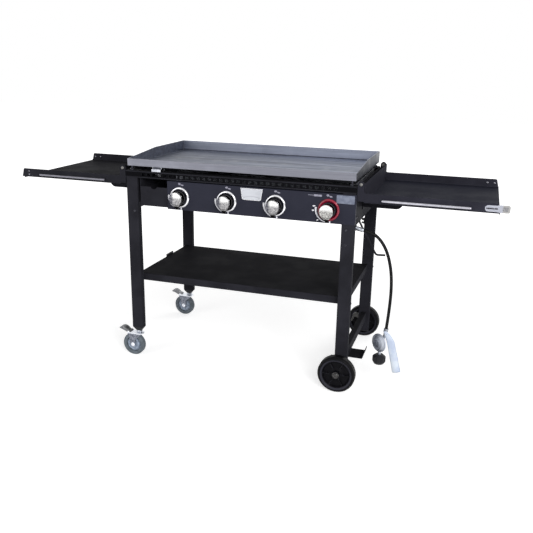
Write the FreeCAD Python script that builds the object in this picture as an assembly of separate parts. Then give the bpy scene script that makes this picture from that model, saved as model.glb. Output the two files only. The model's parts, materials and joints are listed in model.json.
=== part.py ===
import FreeCAD, Part
import math
import os

# Outdoor gas griddle station on a wheeled cart, in millimetres.
# +X is the user's right, +Y the back, +Z up. It is modelled about the middle of its legs, and the export
# moves it so that the origin lies on the floor under the middle of its whole width.

V = FreeCAD.Vector
X_AXIS = V(1, 0, 0)
Y_AXIS = V(0, 1, 0)
Z_AXIS = V(0, 0, 1)
SIDES = (("left", -1), ("right", 1))
ENDS = (("front", -1), ("rear", 1))

# Driving dimensions
SHEET = 2.0
BEND = 1.8
LEG_OUT_X = 474.0
LEG_OUT_Y = 279.0
LEG_WIDE = 50.0
LEG_DEEP = 30.0
LEG_WALL = 2.0
LEG_ROUND = 4.0
LEG_TOP = 790.0
LEG_FOOT_LEFT = 134.0
LEG_NOSE = 16.0
LEG_FOOT_RIGHT = 46.0
RAIL_TOP = 818.0
RAIL_SLOTS = 34
RAIL_SLOT_PITCH = 24.0
APRON_LOW = 668.0
APRON_TOP = 816.0
APRON_HALF_Y = 272.0
PANEL_LEFT = -289.0
PANEL_LOW = 672.0
PANEL_TOP = 786.0
PANEL_RETURN = 20.0
PLATE_HALF_X = 470.0
PLATE_HALF_Y = 270.0
PLATE_LOW = 836.0
PLATE_FLOOR = 5.0
PLATE_WALL = 4.0
PLATE_FRONT_TOP = 864.0
PLATE_REAR_TOP = 884.0
PLATE_KINK_Y = -24.0
DRAIN_X = -337.0
DRAIN_Y = -256.0
PIVOT_X = 489.5
PIVOT_Z = 826.0
EAR_R = 12.0
PIVOT_R = 4.0
TRAY_OUT = 978.0
TRAY_BEND = 6.0
TRAY_HALF_Y = 277.0
TRAY_LOW = 758.0
TRAY_TOP = 794.0
TRAY_END_WALL = 13.0
TRAY_END_TOP = 830.0
ARM_Y = 141.0
ARM_REACH = 631.0
ARM_LOW = 717.0
BAR_Y = -290.0
BAR_Z = 773.0
BAR_R = 4.0
BAR_X = (568.0, 882.0)
OPENER_X = (926.0, 1010.0)
KNOB_X = (-236.0, -35.0, 165.0, 373.0)
KNOB_Z = 723.0
CAP_R = 26.0
BEZEL_R = 42.0
MANIFOLD_Y = -232.0
MANIFOLD_Z = 704.0
SHELF_TOP = 373.0
SHELF_HALF_X = 452.0
SHELF_Y = (-241.0, 245.0)
WHEEL_R = 75.0
WHEEL_X = 441.0
WHEEL_WIDE = 40.0
AXLE_R = 6.0
RUN = 0.05
CASTER_R = 50.0
CASTER_TRAIL = 26.0
CASTER_WIDE = 26.0
CROWN_Z = (101.5, 106.5)
PIN_DX = -20.0
PIN_Z = 105.0
DRAWER_X = (-409.0, -290.0)
DRAWER_Z = (678.0, 757.0)
DRAWER_BACK = -70.0
HOSE_R = 6.1
HOSE_Y = -232.0
# The hose's route in its own upright plane: corners of its runs as (x, z).
HOSE_ROUTE = (
    (502.0, 646.0), (537.5, 639.7), (574.2, 608.9), (602.4, 555.9),
    (621.1, 467.9), (621.1, 347.9), (613.5, 262.0),
)

# Places worked out from them
LEG_X = LEG_OUT_X - LEG_WIDE / 2
LEG_Y = LEG_OUT_Y - LEG_DEEP / 2
LEG_IN_Y = LEG_OUT_Y - LEG_DEEP
PANEL_FACE = -(LEG_OUT_Y + SHEET)
CENTRE_X = (OPENER_X[1] - TRAY_OUT) / 2


def box(x, y, z):
    """A block between three pairs of limits."""
    x0, x1 = sorted(x)
    y0, y1 = sorted(y)
    z0, z1 = sorted(z)
    return Part.makeBox(x1 - x0, y1 - y0, z1 - z0, V(x0, y0, z0))


def round_box(x, y, z, r, axis):
    """A block whose four edges along one axis are rounded, as on a drawn tube."""
    block = box(x, y, z)
    edges = [e for e in block.Edges if abs(e.tangentAt(e.FirstParameter).dot(axis)) > 0.99]
    return block.makeFillet(r, edges)


def bend_edges(shape, r, places):
    """Rounds the long outer edges of a folded sheet; each place is a (y, z) that an edge runs through."""
    edges = []
    for edge in shape.Edges:
        ends = [v.Point for v in edge.Vertexes]
        if len(ends) == 2 and abs(ends[0].x - ends[1].x) > 100:
            if any(abs(ends[0].y - y) < 0.01 and abs(ends[0].z - z) < 0.01 for y, z in places):
                edges.append(edge)
    return shape.makeFillet(r, edges)


def rod(start, end, r):
    """A round bar between two points."""
    a, b = V(*start), V(*end)
    return Part.makeCylinder(r, (b - a).Length, a, b - a)


def fuse(shapes):
    whole = shapes[0].fuse(list(shapes[1:])) if len(shapes) > 1 else shapes[0]
    return whole.removeSplitter()


def group(shapes):
    return Part.makeCompound(list(shapes))


def mirror_x(shape):
    return shape.mirror(V(0, 0, 0), X_AXIS)


def mirror_y(shape):
    return shape.mirror(V(0, 0, 0), Y_AXIS)


def by_side(shape, side):
    """Right-hand shapes are modelled once; the left one is their mirror image."""
    return shape if side > 0 else mirror_x(shape)


def arc_wire(points):
    """A closed wire from points; a point tagged with a third value is the middle of an arc."""
    edges = []
    here = V(*points[0])
    index = 1
    count = len(points)
    while index <= count:
        point = points[index % count]
        if isinstance(point[0], str):
            mid = V(*point[1])
            end = V(*points[(index + 1) % count])
            edges.append(Part.Arc(here, mid, end).toShape())
            index += 2
        else:
            end = V(*point)
            edges.append(Part.makeLine(here, end))
            index += 1
        here = end
    return Part.Wire(edges)


def plate_xz(points, y, thick):
    """An upright plate facing front: an outline of (x, z) points, thickened towards the back."""
    outline = []
    for point in points:
        if isinstance(point[0], str):
            outline.append(("mid", (point[1], y, point[2])))
        else:
            outline.append((point[0], y, point[1]))
    return Part.Face(arc_wire(outline)).extrude(V(0, thick, 0))


def plate_yz(points, x, thick):
    """An upright plate facing sideways: an outline of (y, z) points, thickened towards +X."""
    outline = []
    for point in points:
        if isinstance(point[0], str):
            outline.append(("mid", (x, point[1], point[2])))
        else:
            outline.append((x, point[0], point[1]))
    return Part.Face(arc_wire(outline)).extrude(V(thick, 0, 0))


def turned(profile, centre, axis):
    """A solid of revolution: (radius, distance along the axis) points round an axis through centre."""
    wire = Part.makePolygon([V(r, 0, h) for r, h in profile] + [V(profile[0][0], 0, profile[0][1])])
    solid = Part.Face(wire).revolve(V(0, 0, 0), Z_AXIS, 360)
    solid.Placement = FreeCAD.Placement(V(*centre), FreeCAD.Rotation(Z_AXIS, V(*axis)))
    return solid


def tube(points, r, most=1e9):
    """A round tube on straight runs joined by tangent arcs no larger than most, and the arcs' radii."""
    pts = [V(*p) for p in points]
    edges = []
    radii = []
    here = pts[0]
    for before, corner, after in zip(pts, pts[1:], pts[2:]):
        inward = (corner - before).normalize()
        outward = (after - corner).normalize()
        half = inward.getAngle(outward) / 2
        shorter = min((corner - before).Length, (after - corner).Length)
        radius = min(0.45 * shorter / math.tan(half), most)
        cut = radius * math.tan(half)
        radii.append(radius)
        arc_start = corner - inward * cut
        arc_end = corner + outward * cut
        side = (outward - inward).normalize()
        centre = corner + side * (radius / math.cos(half))
        middle = centre - side * radius
        edges.append(Part.makeLine(here, arc_start))
        edges.append(Part.Arc(arc_start, middle, arc_end).toShape())
        here = arc_end
    edges.append(Part.makeLine(here, pts[-1]))
    path = Part.Wire(edges)
    section = Part.Wire(Part.makeCircle(r, pts[0], pts[1] - pts[0]))
    return path.makePipeShell([section], True, False), path.Length, radii


# Legs

def leg(side, end):
    foot = LEG_FOOT_LEFT if side < 0 else LEG_FOOT_RIGHT
    outer = round_box(
        (side * LEG_OUT_X, side * (LEG_OUT_X - LEG_WIDE)),
        (end * LEG_OUT_Y, end * LEG_IN_Y), (foot, LEG_TOP), LEG_ROUND, Z_AXIS)
    inner = round_box(
        (side * (LEG_OUT_X - LEG_WALL), side * (LEG_OUT_X - LEG_WIDE + LEG_WALL)),
        (end * (LEG_OUT_Y - LEG_WALL), end * (LEG_IN_Y + LEG_WALL)), (foot, LEG_TOP),
        LEG_ROUND - LEG_WALL, Z_AXIS)
    shell = outer.cut(inner)
    if side > 0:
        shell = shell.cut(rod((WHEEL_X, end * 200, WHEEL_R), (WHEEL_X, end * 300, WHEEL_R), AXLE_R))
    return shell


def leg_cap(side, end):
    """A plug in the tube's mouth with a tapered nose below it."""
    foot = LEG_FOOT_LEFT if side < 0 else LEG_FOOT_RIGHT
    half_x = LEG_WIDE / 2
    half_y = LEG_DEEP / 2
    x, y = side * LEG_X, end * LEG_Y
    plug_x = (x - half_x + LEG_WALL, x + half_x - LEG_WALL)
    plug_y = (y - half_y + LEG_WALL, y + half_y - LEG_WALL)
    plug_round = LEG_ROUND - LEG_WALL
    if side > 0:
        rim = round_box(
            (x - half_x, x + half_x), (y - half_y, y + half_y), (foot - 4, foot), LEG_ROUND, Z_AXIS)
        return fuse([rim, round_box(plug_x, plug_y, (foot, foot + 12), plug_round, Z_AXIS)])

    def ring(inset_x, inset_y, z):
        """The tube's rounded outline, drawn in on both sides."""
        a, b, r = half_x - inset_x, half_y - inset_y, LEG_ROUND
        s = r * (1 - math.sqrt(0.5))
        return arc_wire([
            (x - a + r, y - b, z), (x + a - r, y - b, z), ("mid", (x + a - s, y - b + s, z)),
            (x + a, y - b + r, z), (x + a, y + b - r, z), ("mid", (x + a - s, y + b - s, z)),
            (x + a - r, y + b, z), (x - a + r, y + b, z), ("mid", (x - a + s, y + b - s, z)),
            (x - a, y + b - r, z), (x - a, y - b + r, z), ("mid", (x - a + s, y - b + s, z))])

    nose = Part.makeLoft([ring(0, 0, foot), ring(12, 6, foot - LEG_NOSE)], True, True)
    plug = round_box(plug_x, plug_y, (foot, foot + 26), plug_round, Z_AXIS)
    return fuse([nose, plug]).cut(rod((x, y, foot - 20), (x, y, foot + 20), 6))


# Fire box

def front_rail():
    face = -LEG_OUT_Y
    rail = fuse([
        box((-LEG_OUT_X, LEG_OUT_X), (face, face + SHEET), (LEG_TOP, RAIL_TOP)),
        box((-LEG_OUT_X, LEG_OUT_X), (face, -235), (RAIL_TOP - SHEET, RAIL_TOP)),
        box((-LEG_OUT_X, LEG_OUT_X), (face, -255), (LEG_TOP, LEG_TOP + SHEET))])
    rail = bend_edges(rail, BEND, [(face, RAIL_TOP), (face, LEG_TOP)])
    first = -396.0
    slots = []
    for i in range(RAIL_SLOTS):
        x = first + i * RAIL_SLOT_PITCH
        slots.append(box((x - 7, x + 7), (face - 1, face + SHEET + 1), (798, 810)))
    drain = box((DRAIN_X - 20, DRAIN_X + 20), (face + SHEET, -234), (LEG_TOP - 1, RAIL_TOP + 1))
    return rail.cut(group(slots)).cut(drain)


def rear_apron():
    face = LEG_OUT_Y
    apron = fuse([
        box((-LEG_OUT_X, LEG_OUT_X), (face, face + SHEET), (APRON_LOW + 4, RAIL_TOP)),
        box((-LEG_OUT_X, LEG_OUT_X), (235, face + SHEET), (RAIL_TOP - SHEET, RAIL_TOP))])
    apron = bend_edges(apron, BEND, [(face + SHEET, RAIL_TOP)])
    vents = []
    for i in range(12):
        x = -385.0 + i * 70
        vents.append(box((x - 20, x + 20), (face - 1, face + SHEET + 1), (740, 748)))
    return apron.cut(group(vents))


def side_apron(side):
    """An upright sheet outside the legs with a hem turned in below; the right hem lets the hook through."""
    apron = fuse([
        box((LEG_OUT_X, LEG_OUT_X + SHEET), (-APRON_HALF_Y, APRON_HALF_Y), (APRON_LOW, APRON_TOP)),
        box((LEG_OUT_X - 18, LEG_OUT_X), (-LEG_IN_Y + 2, LEG_IN_Y - 2), (APRON_LOW, APRON_LOW + SHEET))])
    if side > 0:
        apron = apron.cut(box(
            (HOOK_X - 7, LEG_OUT_X), (TANK_Y - 7, TANK_Y + 7), (APRON_LOW - 1, APRON_LOW + SHEET + 1)))
    return by_side(apron, side)


def control_panel():
    back = PANEL_FACE + SHEET
    inner_right = LEG_OUT_X - LEG_WIDE - 2
    panel = fuse([
        box((PANEL_LEFT, LEG_OUT_X + SHEET), (PANEL_FACE, back), (PANEL_LOW, PANEL_TOP)),
        box((PANEL_LEFT, inner_right), (back, back + PANEL_RETURN), (PANEL_TOP - SHEET, PANEL_TOP)),
        box((PANEL_LEFT, inner_right), (back, back + PANEL_RETURN), (PANEL_LOW, PANEL_LOW + SHEET)),
        box((PANEL_LEFT, PANEL_LEFT + SHEET), (back, back + PANEL_RETURN), (PANEL_LOW, PANEL_TOP)),
        box((LEG_OUT_X, LEG_OUT_X + SHEET), (back, -APRON_HALF_Y), (PANEL_LOW, PANEL_TOP))])
    panel = bend_edges(panel, BEND, [(PANEL_FACE, PANEL_TOP), (PANEL_FACE, PANEL_LOW)])
    holes = [rod((x, PANEL_FACE - 5, KNOB_Z), (x, back + 5, KNOB_Z), 7) for x in KNOB_X]
    return panel.cut(group(holes))


BOX_X = (-285.0, 455.0)
BOX_Y = (-205.0, 245.0)
BOX_Z = (690.0, 812.0)
BURNER_R = 16.0


def burner_box():
    """The open-topped sheet box round the burners, hung by two flanges."""
    outer = box(BOX_X, BOX_Y, BOX_Z)
    inner = box(
        (BOX_X[0] + SHEET, BOX_X[1] - SHEET), (BOX_Y[0] + SHEET, BOX_Y[1] - SHEET),
        (BOX_Z[0] + SHEET, BOX_Z[1] + 1))
    shell = outer.cut(inner)
    flange_z = (BOX_Z[1] - SHEET, BOX_Z[1])
    front = box((BOX_X[0], BOX_X[1]), (BOX_Y[0], -LEG_OUT_Y + SHEET), flange_z)
    rear = box((BOX_X[0], BOX_X[1]), (BOX_Y[1], LEG_OUT_Y), flange_z)
    holes = [rod((x, BOX_Y[0] - 5, KNOB_Z), (x, BOX_Y[0] + 5, KNOB_Z), BURNER_R) for x in KNOB_X]
    vents = []
    for x in KNOB_X:
        for y in (-120, 0, 120):
            vents.append(box((x - 60, x + 60), (y - 8, y + 8), (BOX_Z[0] - 1, BOX_Z[0] + SHEET + 1)))
    return fuse([shell, front, rear]).cut(group(holes + vents))


def burner(x):
    """A tube burner: open mouth at the valve, closed far end, resting in the box's front wall."""
    body = rod((x, -213, KNOB_Z), (x, 200, KNOB_Z), BURNER_R)
    bore = rod((x, -214, KNOB_Z), (x, 196, KNOB_Z), BURNER_R - 1.5)
    foot = box((x - 10, x + 10), (180, 184), (BOX_Z[0] + SHEET, KNOB_Z))
    return body.fuse(foot).cut(bore).removeSplitter()


def gas_valve(x):
    """A valve body saddled on the pipe, with its jet to the back."""
    body = box((x - 13, x + 13), (MANIFOLD_Y - 16, MANIFOLD_Y + 10), (MANIFOLD_Z, KNOB_Z + 14))
    collar = rod((x, PANEL_FACE + SHEET, KNOB_Z), (x, MANIFOLD_Y - 16, KNOB_Z), 10)
    jet = rod((x, MANIFOLD_Y + 10, KNOB_Z), (x, -208, KNOB_Z), 5)
    pipe = rod((-300, MANIFOLD_Y, MANIFOLD_Z), (500, MANIFOLD_Y, MANIFOLD_Z), 11)
    bore = rod((x, PANEL_FACE - 40, KNOB_Z), (x, MANIFOLD_Y - 10, KNOB_Z), 4 + RUN)
    return fuse([body, collar, jet]).cut(pipe).cut(bore)


HOSE_START = V(HOSE_ROUTE[0][0], HOSE_Y, HOSE_ROUTE[0][1])
HOSE_DIR = V(HOSE_ROUTE[1][0] - HOSE_ROUTE[0][0], 0, HOSE_ROUTE[1][1] - HOSE_ROUTE[0][1]).normalize()
INLET_X = 445.0


def manifold():
    """The gas pipe behind the panel, its drop behind the leg and its outlet elbow under the side sheet."""
    elbow_z = HOSE_START.z + 7
    return fuse([
        rod((-262, MANIFOLD_Y, MANIFOLD_Z), (INLET_X + 9, MANIFOLD_Y, MANIFOLD_Z), 11),
        rod((INLET_X, MANIFOLD_Y, MANIFOLD_Z), (INLET_X, MANIFOLD_Y, elbow_z + 10), 8),
        turned(
            [(0, -12), (8, -12), (10, -10), (10, 10), (8, 12), (0, 12)],
            (INLET_X, MANIFOLD_Y, elbow_z), (0, 0, 1)),
        rod((INLET_X, MANIFOLD_Y, elbow_z), (462, MANIFOLD_Y, elbow_z), 8.5)])


def hose_ferrule():
    """The bright crimped end of the hose and its hexagon nut, on the hose's own line."""
    grip = 38.0
    back = HOSE_START - HOSE_DIR * grip
    nut = turned([(0, 0), (10.5, 0), (10.5, 12), (0, 12)], (462, MANIFOLD_Y, HOSE_START.z + 7), (1, 0, 0))
    sleeve = turned(
        [(0, 0), (8.2, 0), (8.2, grip - 3), (7.2, grip), (0, grip)],
        (back.x, back.y, back.z), (HOSE_DIR.x, HOSE_DIR.y, HOSE_DIR.z))
    return fuse([nut, sleeve])


# Griddle

def griddle_plate():
    """The steel plate: high back wall, side walls that drop to a low front rim."""
    low, floor = PLATE_LOW, PLATE_LOW + PLATE_FLOOR
    side_outline = [
        (-PLATE_HALF_Y, low), (PLATE_HALF_Y, low), (PLATE_HALF_Y, PLATE_REAR_TOP),
        (PLATE_KINK_Y, PLATE_REAR_TOP), (-PLATE_HALF_Y, PLATE_FRONT_TOP)]
    blank = plate_yz(side_outline, -PLATE_HALF_X, 2 * PLATE_HALF_X)
    well = box(
        (-PLATE_HALF_X + PLATE_WALL, PLATE_HALF_X - PLATE_WALL),
        (-PLATE_HALF_Y + PLATE_WALL, PLATE_HALF_Y - PLATE_WALL), (floor, PLATE_REAR_TOP + 1))
    drain = box((DRAIN_X - 17, DRAIN_X + 17), (DRAIN_Y - 9, DRAIN_Y + 9), (low - 1, floor + 1))
    return blank.cut(well).cut(drain)


SPOUT_X = (-357.0, -317.0)
SPOUT_Y = (-281.0, -240.0)
SPOUT_Z = (819.0, 829.0)


def grease_spout():
    """The chute under the drain slot: a sheet pan with a low front lip and a tapered outlet below."""
    wall = 1.5
    x0, x1 = SPOUT_X
    y0, y1 = SPOUT_Y
    low, lip = SPOUT_Z
    inner_x = (x0 + wall, x1 - wall)
    pan = box((x0, x1), (y0, y1), (low, PLATE_LOW)).cut(
        box(inner_x, (y0 + wall, y1 - wall), (low + wall, PLATE_LOW + 1)))
    pan = pan.cut(box((x0 - 1, x1 + 1), (y0 - 1, -PLATE_HALF_Y - 0.5), (lip, PLATE_LOW + 1)))
    pan = pan.cut(box(inner_x, (y0 - 1, y0 + wall + 1), (lip, PLATE_LOW + 1)))

    def ring(half_x, half_y, z):
        return Part.makePolygon([
            V(DRAIN_X - half_x, DRAIN_Y - half_y, z), V(DRAIN_X + half_x, DRAIN_Y - half_y, z),
            V(DRAIN_X + half_x, DRAIN_Y + half_y, z), V(DRAIN_X - half_x, DRAIN_Y + half_y, z),
            V(DRAIN_X - half_x, DRAIN_Y - half_y, z)])

    tip = low - 20
    outlet = Part.makeLoft([ring(16, 12, low + wall), ring(11, 8, tip)], True, True)
    bore = Part.makeLoft([ring(14.5, 10.5, low + wall + 0.1), ring(9.5, 6.5, tip - 0.1)], True, True)
    return pan.fuse(outlet).cut(bore).removeSplitter()


def griddle_foot(side, end):
    x, y = side * 454, end * 259
    return turned(
        [(0, 0), (11, 0), (11, 5), (6, 7), (6, PLATE_LOW - RAIL_TOP), (0, PLATE_LOW - RAIL_TOP)],
        (x, y, RAIL_TOP), (0, 0, 1))


# Grease drawer

def grease_drawer():
    """A folded tray behind a bare front with a finger notch, hung by its two top lips."""
    x0, x1 = DRAWER_X
    z0, z1 = DRAWER_Z
    front_y = PANEL_FACE
    mid = (x0 + x1) / 2
    front = plate_xz(
        [(x0, z0), (x1, z0), (x1, z1), (mid + 15, z1), ("mid", mid, z1 - 9), (mid - 15, z1), (x0, z1)],
        front_y, SHEET)
    body_x = (x0 + 8, x1 - 8)
    body_y = (front_y + SHEET, DRAWER_BACK)
    body_z = (z0 + 4, z1 - 5)
    outer = box(body_x, body_y, body_z)
    inner = box(
        (body_x[0] + 1.5, body_x[1] - 1.5), (body_y[0], body_y[1] - 1.5), (body_z[0] + 1.5, body_z[1] + 1))
    lips = [
        box((body_x[0] - 5, body_x[0]), body_y, (body_z[1] - 1.5, body_z[1])),
        box((body_x[1], body_x[1] + 5), body_y, (body_z[1] - 1.5, body_z[1]))]
    return fuse([front, outer.cut(inner)] + lips)


def drawer_guide(side):
    """An angle on each side of the drawer: its ledge carries the drawer's lip."""
    z_ledge = DRAWER_Z[1] - 5 - 1.5
    rear = DRAWER_BACK - 4
    if side < 0:
        web_x = (DRAWER_X[0] - 3, DRAWER_X[0] - 1.5)
        ledge = box((web_x[1], DRAWER_X[0] + 7), (-277, rear), (z_ledge - 2, z_ledge - 0.3))
        web = box(web_x, (-277, rear), (z_ledge - 2, LEG_TOP))
        strap = box(web_x, (-277, -255), (PANEL_LOW, LEG_TOP))
        foot = box((-LEG_OUT_X + LEG_WIDE, web_x[1]), (-272, -270.5), (PANEL_LOW, PANEL_LOW + 18))
        return fuse([web, ledge, strap, foot])
    web_x = (PANEL_LEFT + SHEET, BOX_X[0])
    web = box(web_x, (-277, rear), (z_ledge - 2, z_ledge + 16))
    ledge = box((DRAWER_X[1] - 7, web_x[0]), (-256, rear), (z_ledge - 2, z_ledge - 0.3))
    return fuse([web, ledge])


# Fold-over side shelves, modelled on the right

def hinge_bracket(end):
    """A fixed lug beside the tray's ear, on a foot that is bolted to the side sheet."""
    inner_y = TRAY_HALF_Y - SHEET - 0.5
    lug = plate_xz([
        (PIVOT_X - EAR_R, 780), (PIVOT_X + EAR_R, 780), (PIVOT_X + EAR_R, PIVOT_Z),
        ("mid", PIVOT_X, PIVOT_Z + EAR_R), (PIVOT_X - EAR_R, PIVOT_Z)], -inner_y, 3)
    foot = box((LEG_OUT_X + SHEET, PIVOT_X - EAR_R), (-inner_y, -inner_y + 3), (780, 814))
    pad = box((LEG_OUT_X + SHEET, LEG_OUT_X + SHEET + 3), (-APRON_HALF_Y + 0.5, -232), (780, 814))
    bracket = fuse([lug, foot, pad]).cut(
        rod((PIVOT_X, -300, PIVOT_Z), (PIVOT_X, -200, PIVOT_Z), PIVOT_R))
    return bracket if end < 0 else mirror_y(bracket)


def pivot_bolt(end):
    ear = -TRAY_HALF_Y
    head = turned(
        [(0, 0), (6.5, 0), (6.5, 1.4), (5.2, 3), (3, 4), (0, 4.4)],
        (PIVOT_X, ear - 0.2, PIVOT_Z), (0, -1, 0))
    shank = rod((PIVOT_X, ear - 0.2, PIVOT_Z), (PIVOT_X, -264, PIVOT_Z), PIVOT_R)
    nut = turned(
        [(0, 0), (7, 0), (7, 6), (0, 6)], (PIVOT_X, -TRAY_HALF_Y + SHEET + 3.5, PIVOT_Z), (0, 1, 0))
    bolt = fuse([head, shank, nut])
    return bolt if end < 0 else mirror_y(bolt)


def shelf_arm(end):
    """A pressed arm under the tray: upright web with a rounded nose, top ledge and bolted root."""
    root = LEG_OUT_X + SHEET
    top = TRAY_LOW - 0.5
    nose = 26.0
    centre = (ARM_REACH - nose, ARM_LOW + nose)
    s = math.sqrt(0.5) * nose
    web = plate_xz([
        (root, ARM_LOW), (centre[0], ARM_LOW), ("mid", centre[0] + s, centre[1] - s),
        (ARM_REACH, centre[1]), (ARM_REACH, top), (root, top)], -ARM_Y, 3)
    ledge = box((root, ARM_REACH), (-ARM_Y, -ARM_Y + 24), (top - 3, top))
    pad = box((root, root + 3), (-ARM_Y, -ARM_Y + 24), (ARM_LOW - 10, top))
    arm = fuse([web, ledge, pad])
    return arm if end < 0 else mirror_y(arm)


def shelf_tray():
    """A folded tray: a channel with rounded bends, two ears on its long walls and an upright inner end."""
    out, inn = TRAY_HALF_Y, TRAY_HALF_Y - SHEET
    low, floor, top = TRAY_LOW, TRAY_LOW + SHEET, TRAY_TOP
    bend = TRAY_BEND
    outer_mid = bend * (1 - math.sqrt(0.5))
    inner_mid = SHEET + (bend - SHEET) * (1 - math.sqrt(0.5))
    wall_x = PIVOT_X + TRAY_END_WALL
    channel = plate_yz([
        (-out, top), (-out, low + bend), ("mid", -out + outer_mid, low + outer_mid), (-out + bend, low),
        (out - bend, low), ("mid", out - outer_mid, low + outer_mid), (out, low + bend), (out, top),
        (inn, top), (inn, low + bend), ("mid", out - inner_mid, low + inner_mid), (out - bend, floor),
        (-out + bend, floor), ("mid", -out + inner_mid, low + inner_mid), (-inn, low + bend), (-inn, top)],
        wall_x, TRAY_OUT - wall_x)
    slope = plate_xz([
        (TRAY_OUT - 2, low + bend), (TRAY_OUT + 1, low + bend), (TRAY_OUT + 1, top + 1),
        (TRAY_OUT - 15, top + 1), (TRAY_OUT - 15, top), ("mid", TRAY_OUT - 10.5, top - 1.5),
        (TRAY_OUT - 8, top - 5)], -out - 1, 2 * out + 2)
    ear_in, ear_out = PIVOT_X - EAR_R, PIVOT_X + EAR_R
    r = 8.0
    s = r * (1 - math.sqrt(0.5))
    ear = plate_xz([
        (ear_in, low + bend), (wall_x + 40, low + bend), (wall_x + 40, top), (ear_out + r, top),
        ("mid", ear_out + s, top + s), (ear_out, top + r), (ear_out, PIVOT_Z),
        ("mid", PIVOT_X, PIVOT_Z + EAR_R), (ear_in, PIVOT_Z)], -out, SHEET)
    ear = ear.cut(rod((PIVOT_X, -300, PIVOT_Z), (PIVOT_X, -200, PIVOT_Z), PIVOT_R + RUN))
    inner_end = box((wall_x, wall_x + SHEET), (-inn, inn), (low + bend, TRAY_END_TOP))
    inner_foot = box((wall_x, wall_x + SHEET), (-out + bend, out - bend), (low, low + bend))
    hem = box((TRAY_OUT - SHEET, TRAY_OUT), (-out + bend + 8, out - bend - 8), (low - 6, low))
    return fuse([channel.cut(slope), ear, mirror_y(ear), inner_end, inner_foot, hem])


def towel_bar(side):
    """A bent round bar on two posts, with the shelf's own small screws."""
    x0, x1 = BAR_X
    posts = [x0 + BAR_R, x1 - BAR_R]
    parts = [rod((posts[0], BAR_Y, BAR_Z), (posts[1], BAR_Y, BAR_Z), BAR_R)]
    for x in posts:
        parts.append(rod((x, BAR_Y, BAR_Z), (x, -TRAY_HALF_Y, BAR_Z), BAR_R))
        parts.append(Part.makeSphere(BAR_R, V(x, BAR_Y, BAR_Z)))
    heads = []
    if side < 0:
        heads.append(screw(943, -TRAY_HALF_Y, 783, (0, -1, 0), 4, 2.5))
        heads.append(screw(943, -TRAY_HALF_Y, 769, (0, -1, 0), 4, 2.5))
    for x in (931, 960):
        heads.append(screw(x, TRAY_HALF_Y - SHEET, 777, (0, -1, 0), 4, 2))
    return group([fuse(parts)] + heads)


def bottle_opener():
    """A flat steel opener on the right shelf's front wall, its mouth standing past the shelf's end."""
    mid_z = 776.0
    half, flare = 11.0, 13.5
    x0, x1 = OPENER_X
    plate = plate_xz([
        (x0 + half, mid_z - half), (962, mid_z - half), (978, mid_z - flare), (x1 - 4, mid_z - flare),
        (x1, mid_z - flare + 4), (x1, mid_z + flare - 4), (x1 - 4, mid_z + flare), (978, mid_z + flare),
        (962, mid_z + half), (x0 + half, mid_z + half), ("mid", x0, mid_z)], -TRAY_HALF_Y - 3, 3)
    mouth = plate_xz([
        (987, mid_z - 7), (1003, mid_z - 8), (1003, mid_z + 8), (987, mid_z + 7), ("mid", 984, mid_z)],
        -300, 30)
    screws = [screw(x, -TRAY_HALF_Y - 3, mid_z, (0, -1, 0), 4, 2) for x in (938, 954)]
    return fuse([plate.cut(mouth)] + screws)


# Knobs

def valve_stem(x):
    return rod((x, PANEL_FACE - 34, KNOB_Z), (x, MANIFOLD_Y - 14, KNOB_Z), 4)


def knob(x):
    """A round stepped knob whose bright cap runs down into a tapered pointer, bored for its stem."""
    body = turned(
        [(0, 0), (28, 0), (28, 4), (25, 7), (23.5, 27), (0, 27)], (x, PANEL_FACE - 5, KNOB_Z), (0, -1, 0))
    reach = 40.0
    tip_r = 4.0
    lean = math.asin((CAP_R - tip_r) / reach)
    side = (math.cos(lean), -math.sin(lean))
    y = PANEL_FACE - 32
    cap_z = KNOB_Z + CAP_R * side[1]
    tip_z = KNOB_Z - reach + tip_r * side[1]
    outline = plate_xz([
        (x - CAP_R * side[0], cap_z), (x - tip_r * side[0], tip_z), ("mid", x, KNOB_Z - reach - tip_r),
        (x + tip_r * side[0], tip_z), (x + CAP_R * side[0], cap_z), ("mid", x, KNOB_Z + CAP_R)],
        y + 16, -27)
    dome = turned([
        (0, 0), (CAP_R, 0), (CAP_R, 7), (CAP_R - 2, 9.5), (CAP_R - 8, 10.5), (0, 11)],
        (x, y, KNOB_Z), (0, -1, 0))
    slope = plate_yz([
        (y + 1, KNOB_Z + 40), (y - 12, KNOB_Z + 40), (y - 12, KNOB_Z - 10), (y - 7, KNOB_Z - 22),
        (y + 10, KNOB_Z - 50), (y + 16, KNOB_Z - 50), (y + 9, KNOB_Z - 22), (y, KNOB_Z - 10)], x - 40, 80)
    above_dome = turned(
        [(CAP_R - 8, 0), (60, 0), (60, 20), (CAP_R - 8, 20)], (x, y - 10.5, KNOB_Z), (0, -1, 0))
    pointer = outline.common(slope).cut(above_dome)
    bore = rod((x, PANEL_FACE, KNOB_Z), (x, PANEL_FACE - 34.3, KNOB_Z), 4 + RUN)
    return fuse([body, dome, pointer]).cut(bore)


def bezel(x):
    """The dished ring round a knob."""
    return turned([
        (30, 0), (BEZEL_R, 0), (BEZEL_R, 2), (BEZEL_R - 2.5, 5), (BEZEL_R - 6, 6), (BEZEL_R - 9, 4.5),
        (30, 2.5)], (x, PANEL_FACE, KNOB_Z), (0, -1, 0))


def badge_plate():
    """A bare bright plate with a straight top and rounded lower corners."""
    x0, x1, z0, z1 = 24.0, 114.0, 736.0, 782.0
    r, inset = 10.0, 5.0
    s = r * (1 - math.sqrt(0.5))
    return plate_xz([
        (x0, z1), (x0 + inset, z0 + r), ("mid", x0 + inset + s, z0 + s), (x0 + inset + r, z0),
        (x1 - inset - r, z0), ("mid", x1 - inset - s, z0 + s), (x1 - inset, z0 + r), (x1, z1)],
        PANEL_FACE - 1.5, 1.5)


# Lower shelf and tank holder

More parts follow.
